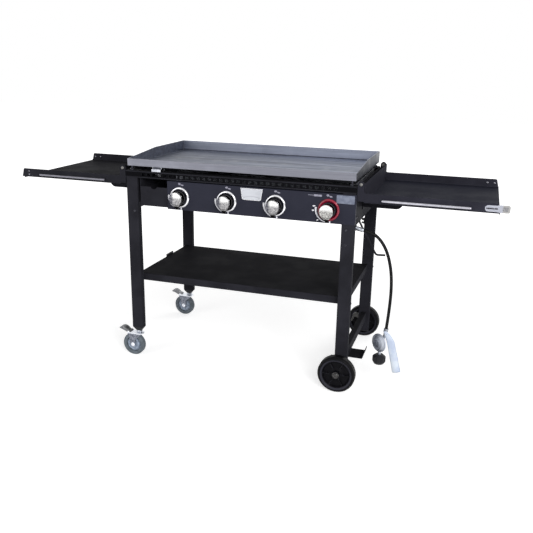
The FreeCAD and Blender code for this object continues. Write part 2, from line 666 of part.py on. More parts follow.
def lower_shelf():
    y0, y1 = SHELF_Y
    top = SHELF_TOP
    low = top - 30
    sheet = bend_edges(
        box((-SHELF_HALF_X, SHELF_HALF_X), (y0, y1), (low, top)), 1.5 * BEND, [(y0, top), (y1, top)])
    hollow = box(
        (-SHELF_HALF_X + SHEET, SHELF_HALF_X - SHEET), (y0 + SHEET, y1 - SHEET), (low - 1, top - SHEET))
    ends = []
    for side in (-1, 1):
        x = (side * SHELF_HALF_X, side * (SHELF_HALF_X - SHEET))
        ends.append(box(x, (-LEG_IN_Y, LEG_IN_Y), (low, top)))
    return fuse([sheet.cut(hollow)] + ends)


def keeper_clips():
    """Small black keepers: one on the lower shelf's left edge, one on the right rear leg."""
    edge = -SHELF_HALF_X
    shelf = plate_xz([
        (edge - 3, SHELF_TOP - 14), (edge, SHELF_TOP - 14), (edge, SHELF_TOP + 6),
        (edge - 1, SHELF_TOP + 9), (edge - 4, SHELF_TOP + 9), (edge - 3, SHELF_TOP + 5)], 27, 67)
    inner = LEG_OUT_X - LEG_WIDE
    leg_clip = plate_xz([
        (inner, 557), (inner - 3, 557), (inner - 13, 560), (inner - 13, 566), (inner - 4, 564),
        (inner - 4, 572), (inner - 13, 574), (inner - 13, 581), (inner, 584)], LEG_Y - 8, 12)
    return [shelf, leg_clip]


BAR_TUBE_X = (436.0, 460.0)
BAR_TUBE_Z = (98.0, 138.0)
TANK_Y = -136.0
HOOK_R = 4.0
HOOK_X = 468.0


def cross_bar():
    """The low tube between the two right legs."""
    outer = round_box(BAR_TUBE_X, (-LEG_IN_Y, LEG_IN_Y), BAR_TUBE_Z, 3, Y_AXIS)
    inner = round_box(
        (BAR_TUBE_X[0] + 1.5, BAR_TUBE_X[1] - 1.5), (-LEG_IN_Y, LEG_IN_Y),
        (BAR_TUBE_Z[0] + 1.5, BAR_TUBE_Z[1] - 1.5), 1.5, Y_AXIS)
    return outer.cut(inner)


def tank_foot():
    """The ledge that braces a gas bottle's foot ring: flat under the bar, then half a millimetre lower."""
    z = BAR_TUBE_Z[0]
    ledge_z = z - 0.5
    tip_x = 520.0
    bar_edge = BAR_TUBE_X[1]
    return plate_xz([
        (BAR_TUBE_X[0], z - 3), (tip_x - 3, z - 3), (tip_x, z), (tip_x + 4, z + 18),
        (tip_x + 1, z + 18), (tip_x - 4, ledge_z), (bar_edge + 1, ledge_z), (bar_edge + 0.5, z),
        (BAR_TUBE_X[0], z)], TANK_Y - 44, 88)


def tank_hook():
    """The round-bar hook that a gas bottle's collar hangs on, clamped inside the side sheet."""
    bar, _, _ = tube([
        (HOOK_X, TANK_Y, 712), (HOOK_X, TANK_Y, 655), (541, TANK_Y, 528), (577, TANK_Y, 530)], HOOK_R, 14)
    clamp = box((462, LEG_OUT_X), (TANK_Y - 12, TANK_Y + 12), (684, 706))
    return bar.fuse(clamp).removeSplitter()


# Wheels and casters

def wheel(end):
    """A moulded wheel: tread with rounded shoulders, dished sides, raised ring, boss and ribs."""
    half = WHEEL_WIDE / 2 - 0.2
    web = 7.0
    profile = [
        (AXLE_R + RUN, -half), (16, -half), (17.5, -half + 9), (30, -web), (50, -web), (55, -half + 5),
        (60, -half + 2), (64, -half), (70, -half + 1.5), (WHEEL_R, -half + 8), (WHEEL_R, half - 8),
        (70, half - 1.5), (64, half), (60, half - 2), (55, half - 5), (50, web), (30, web),
        (17.5, half - 9), (16, half), (AXLE_R + RUN, half)]
    body = turned(profile, (WHEEL_X, end * 305, WHEEL_R), (0, 1, 0))
    ribs = []
    for i in range(6):
        rib = box((15, 54), (-13, 13), (-1.5, 1.5))
        rib.rotate(V(0, 0, 0), Y_AXIS, 60 * i)
        rib.translate(V(WHEEL_X, end * 305, WHEEL_R))
        ribs.append(rib)
    return fuse([body] + ribs)


def axle_bolt(end):
    """Axle bolt with head, the washer between wheel and leg, and the nut inside the leg line."""
    outer = end * (305 + WHEEL_WIDE / 2)
    inner = end * (305 - WHEEL_WIDE / 2)
    head = turned(
        [(0, 0), (13, 0), (13, 1.6), (7.5, 1.6), (7.5, 5.5), (6, 7), (0, 7)],
        (WHEEL_X, outer, WHEEL_R), (0, end, 0))
    shank = rod((WHEEL_X, outer, WHEEL_R), (WHEEL_X, end * (LEG_IN_Y - 12), WHEEL_R), AXLE_R)
    washer = rod((WHEEL_X, inner, WHEEL_R), (WHEEL_X, end * LEG_OUT_Y, WHEEL_R), 12)
    nut = turned([(0, 0), (9, 0), (9, 9), (0, 9)], (WHEEL_X, end * LEG_IN_Y, WHEEL_R), (0, -end, 0))
    return fuse([head, shank, washer, nut])


def axle_plate(end):
    """The bright formed plate beside a right leg's foot."""
    x0, x1 = LEG_OUT_X - LEG_WIDE - 34, LEG_OUT_X - LEG_WIDE
    z0, z1 = 82.0, 128.0
    y = end * (LEG_IN_Y + 6)
    return plate_xz([
        (x0 - 2, z0 + 2), (x0 + 4, z0), (x0 + 15, z1 - 21), (x1, z1 - 25), (x1, z1 - 2),
        (x0 + 16, z1), (x0 + 9, z1 - 6)], y, 3)


def caster_stem(end):
    """The fixed stem with its bearing collar, and the head that keeps the fork on it."""
    x, y = -LEG_X, end * LEG_Y
    collar_low = CROWN_Z[1] + 0.5
    collar_tall = LEG_FOOT_LEFT - LEG_NOSE - collar_low
    head_low = CROWN_Z[0] - 4
    return fuse([
        turned(
            [(0, 0), (11, 0), (13, 3), (13, 7), (10, collar_tall), (0, collar_tall)],
            (x, y, collar_low), (0, 0, 1)),
        rod((x, y, head_low), (x, y, LEG_FOOT_LEFT + 18), 6),
        turned([(0, 0), (7, 0), (8, 1), (8, 3.5), (0, 3.5)], (x, y, head_low), (0, 0, 1))])


def caster_fork(end):
    """A pressed fork: round crown, two cheeks back to the axle, the axle rivet and the pedal's pin."""
    x, y = -LEG_X, end * LEG_Y
    axle_x = x - CASTER_TRAIL
    pin_x, pin_z = axle_x + PIN_DX, PIN_Z
    inside, outside = CASTER_WIDE / 2 + 2.0, CASTER_WIDE / 2 + 4.5
    low, high = CROWN_Z
    strap_z = (low + 1, low + 3.5)
    crown = turned(
        [(6 + RUN, 0), (21, 0), (21, 3), (18, high - low), (6 + RUN, high - low)], (x, y, low), (0, 0, 1))
    strap = box((axle_x - 11, x), (y - outside, y + outside), strap_z)
    parts = [crown, strap.cut(rod((x, y, low - 5), (x, y, high + 5), 6 + RUN))]
    for s in (-1, 1):
        y0 = y + inside if s > 0 else y - outside
        cheek = plate_xz([
            (x + 15, strap_z[1]), (x + 12, low - 4), (axle_x + 13, 76), (axle_x + 11, 50),
            ("mid", axle_x, 39), (axle_x - 11, 50), (axle_x - 15, 76), (pin_x - 5, pin_z - 4),
            ("mid", pin_x - 4.2, pin_z + 3.6), (pin_x + 2, pin_z + 6), (axle_x - 11, strap_z[1])], y0, 2.5)
        parts.append(cheek)
        parts.append(turned(
            [(0, 0), (6.5, 0), (6.5, 1.5), (4.5, 3.4), (0, 3.5)],
            (axle_x, y + s * outside, CASTER_R), (0, s, 0)))
    parts.append(rod((axle_x, y - outside, CASTER_R), (axle_x, y + outside, CASTER_R), 5))
    parts.append(rod((pin_x, y - outside - 1, pin_z), (pin_x, y + outside + 1, pin_z), 2.5))
    return fuse(parts)


def caster_wheel(end):
    """Grey tread and its hub, with a deep groove between them, on one axle bore."""
    axle = (-LEG_X - CASTER_TRAIL, end * LEG_Y, CASTER_R)
    half = CASTER_WIDE / 2
    seat = 32.0
    tread = turned([
        (seat, -half + 9), (35, -half + 1), (38, -half), (44, -half), (CASTER_R, -half + 5),
        (CASTER_R, half - 5), (44, half), (38, half), (35, half - 1), (seat, half - 9)],
        axle, (0, 1, 0))
    hub = turned([
        (5 + RUN, -half - 1), (10, -half - 1), (12, -half + 3), (24, -half + 2), (27, -half + 3),
        (28.5, -half + 9), (seat, -half + 9), (seat, half - 9), (28.5, half - 9), (27, half - 3),
        (24, half - 2), (12, half - 3), (10, half + 1), (5 + RUN, half + 1)],
        axle, (0, 1, 0))
    return tread, hub


def brake_lever(end):
    """The foot pedal: a sleeve on the fork's pin, a hooded plate with side walls and a brake lobe."""
    y = end * LEG_Y
    px, pz = -LEG_X - CASTER_TRAIL + PIN_DX, PIN_Z
    sleeve_half, lobe_half, pedal_half, wall = CASTER_WIDE / 2 + 1.5, 11.0, 13.0, 2.0
    sleeve = rod((px, y - sleeve_half, pz), (px, y + sleeve_half, pz), 5)
    lobe = plate_xz([
        (px - 4, pz), (px - 2.5, pz - 7.6), (px + 0.5, pz - 8.1), (px + 3, pz - 5), (px + 4, pz)],
        y - lobe_half, 2 * lobe_half)
    top = [
        (px - 1, pz + 5), (px - 8, pz + 13), (px - 18, pz + 20), (px - 28, pz + 23), (px - 38, pz + 21),
        (px - 46, pz + 14)]
    under = [
        (px - 44.5, pz + 12.6), (px - 37.3, pz + 19), (px - 28, pz + 20.9), (px - 18.8, pz + 18.1),
        (px - 9.4, pz + 11.4), (px + 1, pz + 2)]
    skirt = [(px - 44.5, pz + 12.6), (px - 30, pz + 8), (px - 14, pz + 1), (px - 3, pz - 4)]
    parts = [sleeve, lobe, plate_xz(top + under, y - pedal_half, 2 * pedal_half)]
    for y0 in (y - pedal_half, y + pedal_half - wall):
        parts.append(plate_xz(top + skirt, y0, wall))
    pin_hole = rod((px, y - 40, pz), (px, y + 40, pz), 2.5 + RUN)
    return fuse(parts).cut(pin_hole)


# Hose, regulator and its hand nut

REG_CENTRE = V(590, HOSE_Y, 199)
REG_FACE = V(-0.615, -0.788, 0)
NUT_TOP = V(594, HOSE_Y, 151)
NUT_PLATE = 8.0
NUT_THREAD_FROM = 20.0
NUT_TALL = 38.0
HOSE_END = V(HOSE_ROUTE[-1][0], HOSE_Y, HOSE_ROUTE[-1][1])
HOSE_END_DIR = (HOSE_END - V(HOSE_ROUTE[-2][0], HOSE_Y, HOSE_ROUTE[-2][1])).normalize()
TAG_Y = -262.0


def hose():
    points = [(x, HOSE_Y, z) for x, z in HOSE_ROUTE]
    solid, length, radii = tube(points, HOSE_R)
    print("hose length", round(length, 1), "arc radii", [round(r) for r in radii])
    print("hose volume ratio", round(solid.Volume / (math.pi * HOSE_R ** 2 * length), 4))
    return solid


def regulator():
    """A domed diaphragm housing on its side, with an outlet barb up to the hose and an inlet neck."""
    dome = turned([
        (0, -16), (14, -15), (27, -10), (34, -3), (37, -2), (37, 3), (33, 5), (26, 11), (15, 15),
        (0, 16)], tuple(REG_CENTRE), tuple(REG_FACE))
    end, down = HOSE_END, HOSE_END_DIR
    barb = turned([(0, 0), (9, 0), (9, 14), (7, 16), (7, 34), (0, 34)], tuple(end), tuple(down))
    elbow = rod(tuple(end + down * 30), (REG_CENTRE.x + 6, HOSE_Y, REG_CENTRE.z + 8), 7)
    top = REG_CENTRE.z - 20 - NUT_TOP.z
    floor = -NUT_PLATE - 0.3
    nipple = turned(
        [(0, top), (6, top), (6, floor), (10, floor), (10, floor - 3), (5, floor - 6),
         (4, -NUT_THREAD_FROM + 0.5), (0, -NUT_THREAD_FROM + 0.5)],
        tuple(NUT_TOP), (0, 0, 1))
    return fuse([dome, barb, elbow, nipple])


def hand_nut():
    """The big black nut that screws on a bottle valve: fluted, and free to turn on the nipple's flange."""
    body = turned([
        (6 + RUN, 0), (15, 0), (26, 9), (26, NUT_TALL - 10), (20, NUT_TALL), (16, NUT_TALL),
        (16, NUT_THREAD_FROM), (12, NUT_THREAD_FROM), (12, NUT_PLATE), (6 + RUN, NUT_PLATE)],
        tuple(NUT_TOP), (0, 0, -1))
    flutes = []
    for i in range(8):
        a = math.radians(45 * i + 22.5)
        x, y = NUT_TOP.x + 30 * math.cos(a), NUT_TOP.y + 30 * math.sin(a)
        flutes.append(rod((x, y, NUT_TOP.z + 1), (x, y, NUT_TOP.z - NUT_TALL - 1), 7))
    return body.cut(group(flutes))


def hang_tag():
    """A bare pale card on a thin tie round the hose's lower end."""
    end, down = HOSE_END, HOSE_END_DIR
    ring = turned([(9, 0), (11, 0), (11, 3), (9, 3)], tuple(end + down * 6), tuple(down))
    top = V(622, TAG_Y, 250)
    bottom = V(664, TAG_Y, 86)
    along = (bottom - top).normalize()
    across = V(-along.z, 0, along.x) * 16
    corners = [top - across, bottom - across, bottom + across, top + across, top - across]
    card = Part.Face(Part.makePolygon(corners)).extrude(V(0, -1, 0))
    tie_start = end + down * 7.5 + V(0, -10, 0)
    tie = rod(tuple(tie_start), tuple(top + along * 8 + V(0, -0.5, 0)), 1)
    return fuse([ring, tie, card])


# Fasteners

def screw(x, y, z, direction, r=5.5, tall=3.0):
    return turned(
        [(0, 0), (r, 0), (r, tall * 0.4), (r * 0.6, tall), (0, tall)], (x, y, z), direction)


def frame_screws():
    heads = []
    for side in (-1, 1):
        x = side * (LEG_OUT_X - 32)
        heads.append(screw(x, -LEG_OUT_Y, 651, (0, -1, 0)))
        if side > 0:
            heads.append(screw(x, -LEG_OUT_Y, 592, (0, -1, 0)))
        heads.append(screw(x, LEG_OUT_Y, 651, (0, 1, 0)))
        face = side * (LEG_OUT_X + SHEET)
        for end in (-1, 1):
            heads.append(screw(face, end * LEG_Y, 700, (side, 0, 0)))
            heads.append(screw(face + side * 3, end * 243, 797, (side, 0, 0), 5, 2.5))
            heads.append(screw(side * LEG_OUT_X, end * LEG_Y, 358, (side, 0, 0)))
    return heads


def export(name, shape):
    placed = shape.copy()
    placed.translate(V(-CENTRE_X, 0, 0))
    placed.exportStep("parts/" + name + ".step")


os.makedirs("parts", exist_ok=True)

for side_name, side in SIDES:
    for end_name, end in ENDS:
        export("leg_%s_%s" % (end_name, side_name), leg(side, end))
export("leg_end_caps", group([leg_cap(s, e) for _, s in SIDES for _, e in ENDS]))
export("front_rail", front_rail())
export("rear_apron", rear_apron())
export("side_aprons", group([side_apron(s) for _, s in SIDES]))
export("control_panel", control_panel())
export("burner_box", burner_box())
export("burner_tubes", group([burner(x) for x in KNOB_X]))
export("gas_manifold", manifold())
export("gas_valves", group([gas_valve(x) for x in KNOB_X]))
export("hose_ferrule", hose_ferrule())
export("drawer_guides", group([drawer_guide(-1), drawer_guide(1)]))
export("hinge_brackets", group([by_side(hinge_bracket(e), s) for _, s in SIDES for _, e in ENDS]))
export("pivot_bolts", group([by_side(pivot_bolt(e), s) for _, s in SIDES for _, e in ENDS]))
export("shelf_arms", group([by_side(shelf_arm(e), s) for _, s in SIDES for _, e in ENDS]))
export("lower_shelf", lower_shelf())
export("keeper_clips", group(keeper_clips()))
export("cross_bar", cross_bar())
export("tank_foot", tank_foot())
export("tank_hook", tank_hook())
export("knob_bezels", group([bezel(x) for x in KNOB_X[:3]]))
export("knob_bezel_red", bezel(KNOB_X[3]))
export("badge_plate", badge_plate())
export("axle_hardware", group([axle_bolt(e) for _, e in ENDS] + [axle_plate(e) for _, e in ENDS]))
export("caster_stems", group([caster_stem(e) for _, e in ENDS]))
export("frame_screws", group(frame_screws()))

export("griddle_plate", griddle_plate())
export("grease_spout", grease_spout())
export("griddle_feet", group([griddle_foot(s, e) for _, s in SIDES for _, e in ENDS]))
export("grease_drawer", grease_drawer())

for side_name, side in SIDES:
    export("shelf_tray_" + side_name, by_side(shelf_tray(), side))
    export("towel_bar_" + side_name, by_side(towel_bar(side), side))
export("bottle_opener", bottle_opener())

for number, x in enumerate(KNOB_X, 1):
    export("valve_stem_%d" % number, valve_stem(x))
    export("knob_%d" % number, knob(x))

for end_name, end in ENDS:
    export("wheel_" + end_name, wheel(end))
    export("caster_fork_" + end_name, caster_fork(end))
    tread, hub = caster_wheel(end)
    export("caster_tread_" + end_name, tread)
    export("caster_hub_" + end_name, hub)
    export("brake_lever_" + end_name, brake_lever(end))

export("gas_hose", hose())
export("gas_regulator", regulator())
export("regulator_nut", hand_nut())
export("hang_tag", hang_tag())
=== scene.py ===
# %% [markdown]
# # Outdoor gas griddle station
#
# A flat steel griddle on a black cart with two fold-over shelves. The solid parts come ready made, with
# every part at its true place and size, so this lesson dresses them: it gives each part the finish
# that it has on the real cart, with some light and shade painted into it, and adds what is too fine or
# too soft for a solid model, such as the hanging gas hose, printed marks, weld beads and the painted
# shade of screw recesses. All sizes are in metres.

# %% Load the frame
import json
import math

import bmesh
import bpy
from mathutils import Matrix, Vector


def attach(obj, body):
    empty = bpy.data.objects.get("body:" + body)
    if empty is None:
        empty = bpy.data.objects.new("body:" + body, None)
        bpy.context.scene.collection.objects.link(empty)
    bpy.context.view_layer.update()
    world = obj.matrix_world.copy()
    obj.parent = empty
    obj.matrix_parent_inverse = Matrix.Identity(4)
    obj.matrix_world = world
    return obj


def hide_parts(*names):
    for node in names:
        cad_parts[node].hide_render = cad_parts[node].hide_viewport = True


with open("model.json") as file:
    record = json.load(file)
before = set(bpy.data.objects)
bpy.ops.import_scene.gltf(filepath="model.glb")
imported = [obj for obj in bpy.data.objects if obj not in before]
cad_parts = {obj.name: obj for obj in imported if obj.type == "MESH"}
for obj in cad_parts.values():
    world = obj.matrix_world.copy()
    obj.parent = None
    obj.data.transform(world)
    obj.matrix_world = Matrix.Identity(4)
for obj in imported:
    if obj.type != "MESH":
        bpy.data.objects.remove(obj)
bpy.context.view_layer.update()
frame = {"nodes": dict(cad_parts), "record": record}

# %% [markdown]
# ## The camera
#
# The photograph was taken from the right of the middle, a little above the plate and rolled by about one
# degree. A camera could be aimed by a constraint, but its place and angles are known here as numbers, so
# its matrix is written out once.

# %% Place the camera
CAMERA_PLACE = Vector((0.8791, -2.6711, 1.2423))
CAMERA_YAW = math.radians(17.65)
CAMERA_PITCH = math.radians(16.99)
CAMERA_ROLL = math.radians(-1.08)
CAMERA_LENS = 44.88
SENSOR_WIDTH = 36.0


def put_in_scene(name, data):
    """An object for a mesh, curve, lamp or camera."""
    obj = bpy.data.objects.new(name, data)
    bpy.context.scene.collection.objects.link(obj)
    return obj


ahead = Vector((
    -math.sin(CAMERA_YAW) * math.cos(CAMERA_PITCH),
    math.cos(CAMERA_YAW) * math.cos(CAMERA_PITCH),
    -math.sin(CAMERA_PITCH)))
level = Vector((math.cos(CAMERA_YAW), math.sin(CAMERA_YAW), 0.0))
below = ahead.cross(level)
right = math.cos(CAMERA_ROLL) * level + math.sin(CAMERA_ROLL) * below
up = math.sin(CAMERA_ROLL) * level - math.cos(CAMERA_ROLL) * below
camera = put_in_scene("camera", bpy.data.cameras.new("camera"))
camera.data.sensor_width = SENSOR_WIDTH
camera.data.lens = CAMERA_LENS
turned_axes = Matrix((right, up, -ahead)).transposed()
camera.matrix_world = Matrix.Translation(CAMERA_PLACE) @ turned_axes.to_4x4()
bpy.context.scene.camera = camera
print("camera looks along", [round(v, 3) for v in ahead])

# %% [markdown]
# ## Making a mesh piece
#
# Most added pieces are thin upright plates with an outline: prints on the panel, a label, a badge's rim. Each
# could be drawn by hand in edit mode. Small helpers that turn outlines into closed plates keep them exact.

# %% Helpers for mesh pieces
def add_plate(build, outline, front_y, back_y):
    """A closed upright plate between two depths, from an outline of (across, up) points."""
    near, far = ([build.verts.new((x, y, z)) for x, z in outline] for y in (front_y, back_y))
    build.faces.new(near)
    build.faces.new(list(reversed(far)))
    for i in range(len(outline)):
        build.faces.new((near[i], near[i - 1], far[i - 1], far[i]))


def add_strip(build, low, high, front_y, back_y):
    """A closed upright plate between two lines with as many points each."""
    near, far = (
        [[build.verts.new((x, y, z)) for x, z in pair] for pair in zip(low, high)] for y in (front_y, back_y))
    for i in range(1, len(low)):
        build.faces.new((near[i - 1][0], near[i][0], near[i][1], near[i - 1][1]))
        build.faces.new((far[i - 1][0], far[i - 1][1], far[i][1], far[i][0]))
        for edge in (0, 1):
            build.faces.new((near[i - 1][edge], far[i - 1][edge], far[i][edge], near[i][edge]))
    for i in (0, -1):
        build.faces.new((near[i][0], near[i][1], far[i][1], far[i][0]))


def mesh_from(build, name):
    """The finished mesh, with its faces turned outwards."""
    bmesh.ops.recalc_face_normals(build, faces=build.faces)
    mesh = bpy.data.meshes.new(name)
    build.to_mesh(mesh)
    build.free()
    return mesh


# %% [markdown]
# ## The gas hose and its tag
#
# A rubber hose of about twelve millimetres leaves the crimped sleeve under the right shelf, bends over and
# hangs down to the regulator. It could be a mesh tube, but a curve keeps its line smooth by itself: the
# points below are the corners that the line is drawn towards. Its bevel is one, and each point's own radius
# makes it as thick as the hose. A card tag hangs from its lower end. It is soft, so its plate is built in
# strips that curl a little.

# %% Curl the hang tag
HOSE_Y = -0.232
TAG_Y = -0.2605
TAG_ROWS = 24
TAG_COLUMNS = 8
TAG_THICK = 0.0006
TAG_CURL = 0.0045
TAG_SWAY = 0.004
TAG_TILT = 0.24
TAG_LINE = (
    (0.0, 0.597, 0.262, 0.010), (0.1, 0.609, 0.245, 0.022),
    (0.25, 0.621, 0.220, 0.029), (1.0, 0.652, 0.096, 0.032))


def on_tag_line(down):
    """The tag's middle and width at a share of the way down it."""
    for (first, *near), (last, *far) in zip(TAG_LINE, TAG_LINE[1:]):
        if down <= last:
            share = (down - first) / (last - first)
            return [a + (b - a) * share for a, b in zip(near, far)]


build = bmesh.new()
grid = []
for row in range(TAG_ROWS + 1):
    down = row / TAG_ROWS
    x, z, width = on_tag_line(down)
    strip = []
    for column in range(TAG_COLUMNS + 1):
        side = 2 * column / TAG_COLUMNS - 1
        bow = TAG_CURL * (side * side - 0.5) * (0.4 + down) + TAG_SWAY * math.sin(3.0 * down)
        strip.append(build.verts.new((x + side * width / 2, TAG_Y + bow, z + TAG_TILT * side * width / 2)))
    grid.append(strip)
for upper, lower in zip(grid, grid[1:]):
    for i in range(TAG_COLUMNS):
        build.faces.new((upper[i], lower[i], lower[i + 1], upper[i + 1]))
tag = put_in_scene("tag_card", mesh_from(build, "tag_card"))
card_wall = tag.modifiers.new("card_wall", "SOLIDIFY")
card_wall.thickness = TAG_THICK
card_wall.offset = 0.0
for face in tag.data.polygons:
    face.use_smooth = True
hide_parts("hang_tag")
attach(tag, "frame")
print("tag rows", len(grid))

# %% Tie the tag to the hose
TIE_RADIUS = 0.0008
TIE_POINTS = (
    (0.6045, -0.2609, 0.2500), (0.6035, -0.2500, 0.2545), (0.6060, -0.2400, 0.2600), (0.6065, -0.2320, 0.2632),
    (0.5975, -0.2225, 0.2632), (0.5885, -0.2320, 0.2632), (0.5915, -0.2410, 0.2605), (0.6010, -0.2505, 0.2540),
    (0.6040, -0.2615, 0.2500))


def thick_line(name, places, radius, order, rounding):
    """A smooth round line, drawn towards the places between its ends."""
    line = bpy.data.curves.new(name, "CURVE")
    line.dimensions = "3D"
    line.bevel_depth = 1.0
    line.bevel_resolution = rounding
    line.use_fill_caps = True
    spline = line.splines.new("NURBS")
    spline.points.add(len(places) - 1)
    for point, place in zip(spline.points, places):
        point.co = (*place, 1.0)
        point.radius = radius
    spline.order_u = order
    spline.use_endpoint_u = True
    return put_in_scene(name, line)


tie = thick_line("tag_tie", TIE_POINTS, TIE_RADIUS, order=4, rounding=3)
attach(tie, "frame")
print("tie points", len(TIE_POINTS))

# %% Lay the hose on one smooth line
HOSE_RADIUS = 0.0061
HOSE_CORNERS = [(x, HOSE_Y, z) for x, z in (
    (0.4860, 0.6460), (0.5215, 0.6397), (0.5582, 0.6089), (0.5864, 0.5559),
    (0.6051, 0.4679), (0.6051, 0.3479), (0.5975, 0.2620))]

hose = thick_line("hose", HOSE_CORNERS, HOSE_RADIUS, order=3, rounding=6)
hose.data.resolution_u = 16
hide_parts("gas_hose")
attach(hose, "frame")
print("hose corners", len(HOSE_CORNERS))

# %% [markdown]
# ## Floor and light
#
# The photograph has a white ground and soft light from above, the front and the right. The floor is a wide
# pale sheet that still takes the shadow. Floor and world show plain white to the camera and in
# reflections, but the world is dimmer as a lamp, so that large area lamps can give the parts shape.

# %% Helpers for nodes
def join(value, socket):
    """Feeds a socket from a (node, output) pair, or gives it a plain value."""
    if isinstance(value, tuple) and isinstance(value[0], bpy.types.Node):
        socket.id_data.links.new(value[0].outputs[value[1]], socket)
    else:
        socket.default_value = value


def add(tree, kind, inputs=None, **settings):
    """One node with its settings, and each input's plain value or the (node, output) pair that feeds it."""
    node = tree.nodes.new(kind if "Node" in kind else "ShaderNode" + kind)
    for key, value in settings.items():
        setattr(node, key, value)
    for key, value in (inputs or {}).items():
        join(value, node.inputs[key])
    return node


def seen_directly(tree):
    """One where a ray comes straight from the camera, or by way of metal or glass; else nought."""
    path = add(tree, "LightPath")
    first = add(tree, "Math", {0: (path, "Is Camera Ray"), 1: (path, "Is Glossy Ray")}, operation="MAXIMUM")
    return add(tree, "Math", {0: (first, 0), 1: (path, "Is Transmission Ray")}, operation="MAXIMUM"), 0


# %% Make the floor
FLOOR_REACH = 14.0
FLOOR_LIFT = 0.62
FLOOR_NEAR = 1.0
FLOOR_FAR = 2.6
WHITE = (1.0, 1.0, 1.0, 1.0)
floor_mesh = bpy.data.meshes.new("floor")
floor_mesh.from_pydata(
    [(FLOOR_REACH * x, FLOOR_REACH * y, 0) for x, y in ((-1, -1), (1, -1), (1, 1), (-1, 1))], [], [(0, 1, 2, 3)])
floor = put_in_scene("floor", floor_mesh)

floor_look = bpy.data.materials.new("floor_paper")
floor_look.use_nodes = True
tree = floor_look.node_tree
reach = add(tree, "VectorMath", {0: (add(tree, "TexCoord"), "Object")}, operation="LENGTH")
by_distance = add(tree, "MapRange", {
    "Value": (reach, "Value"), "From Min": FLOOR_NEAR, "From Max": FLOOR_FAR, "To Min": FLOOR_LIFT})
lift = add(tree, "Math", {0: seen_directly(tree), 1: (by_distance, "Result")}, operation="MULTIPLY")
for entry, value in {
        "Base Color": (0.8, 0.8, 0.8, 1.0), "Roughness": 1.0, "Specular IOR Level": 0.0,
        "Emission Color": WHITE, "Emission Strength": (lift, 0)}.items():
    join(value, tree.nodes["Principled BSDF"].inputs[entry])
floor_mesh.materials.append(floor_look)
print("floor", FLOOR_REACH)

# %% Make the world and the lamps
WORLD_AS_LAMP = 0.38
world = bpy.data.worlds.new("white_room")
world.use_nodes = True
bpy.context.scene.world = world
tree = world.node_tree
strength = add(tree, "MapRange", {"Value": seen_directly(tree), "To Min": WORLD_AS_LAMP})
join(WHITE, tree.nodes["Background"].inputs["Color"])
join((strength, "Result"), tree.nodes["Background"].inputs["Strength"])


def area_lamp(name, place, aim, size, watts):
    """A square soft lamp that faces a point."""
    data = bpy.data.lights.new(name, "AREA")
    data.size = size
    data.energy = watts
    lamp = put_in_scene(name, data)
    lamp.location = place
    lamp.rotation_euler = (Vector(aim) - Vector(place)).to_track_quat("-Z", "Y").to_euler()


area_lamp("key_lamp", (2.4, -3.4, 2.3), (0.0, 0.0, 0.6), 1.8, 110.0)
area_lamp("fill_lamp", (-2.6, -3.4, 1.6), (0.0, 0.0, 0.5), 2.4, 35.0)
area_lamp("rim_lamp", (1.6, 2.6, 2.4), (0.0, 0.0, 0.6), 1.6, 18.0)
bpy.context.scene.view_settings.view_transform = "Standard"

# %% [markdown]
# ## Effects that many finishes share
#
# Paint, cast metal and plastic all show soft clouds of colour, a fine grain, and edges that are a little
# rounded and rubbed. Each could be wired again in every material. Here each is one node group, built
# once and given its own numbers wherever it is used.

# %% A helper for groups
def new_group(name, kind, entries, results):
    """An empty node group; a word gives a socket's kind, and a number or triple its first value."""
    group = bpy.data.node_groups.new(name, kind)
    for way, sockets in (("INPUT", entries), ("OUTPUT", results)):
        for title, value in sockets.items():
            word = {float: "Float", int: "Int", tuple: "Vector"}.get(type(value), value)
            socket = group.interface.new_socket(title, in_out=way, socket_type="NodeSocket" + word)
            if word != value:
                socket.default_value = value
    print("group", name, "takes", list(entries))
    return group, group.nodes.new("NodeGroupInput"), group.nodes.new("NodeGroupOutput")


# %% Group: soft clouds
clouds, start, end = new_group(
    "clouds", "ShaderNodeTree",
    {"Vector": "Vector", "Scale": 8.0, "Detail": 4.0, "Low": 0.35, "High": 0.65}, {"Mask": "Float"})
noise = add(clouds, "TexNoise", {entry: (start, entry) for entry in ("Vector", "Scale", "Detail")})
spread = add(clouds, "MapRange", {
    "Value": (noise, "Fac"), "From Min": (start, "Low"), "From Max": (start, "High")},
    interpolation_type="SMOOTHSTEP")
join((spread, "Result"), end.inputs["Mask"])

# %% Group: rubbed edges
rubbed_edge, start, end = new_group(
    "rubbed_edge", "ShaderNodeTree", {"Vector": "Vector", "Width": 0.0015, "Patches": 60.0}, {"Mask": "Float"})
round_normal = add(rubbed_edge, "Bevel", {"Radius": (start, "Width")})
true_normal = add(rubbed_edge, "NewGeometry")
compare = add(
    rubbed_edge, "VectorMath", {0: (round_normal, "Normal"), 1: (true_normal, "Normal")}, operation="DOT_PRODUCT")
edge = add(rubbed_edge, "MapRange", {"Value": (compare, "Value"), "From Min": 0.995, "From Max": 0.8})
patches = add(rubbed_edge, "TexNoise", {"Vector": (start, "Vector"), "Scale": (start, "Patches"), "Detail": 3.0})
patchy = add(rubbed_edge, "MapRange", {"Value": (patches, "Fac"), "From Min": 0.4, "From Max": 0.62})
worn = add(rubbed_edge, "Math", {0: (edge, "Result"), 1: (patchy, "Result")}, operation="MULTIPLY")
join((worn, "Value"), end.inputs["Mask"])

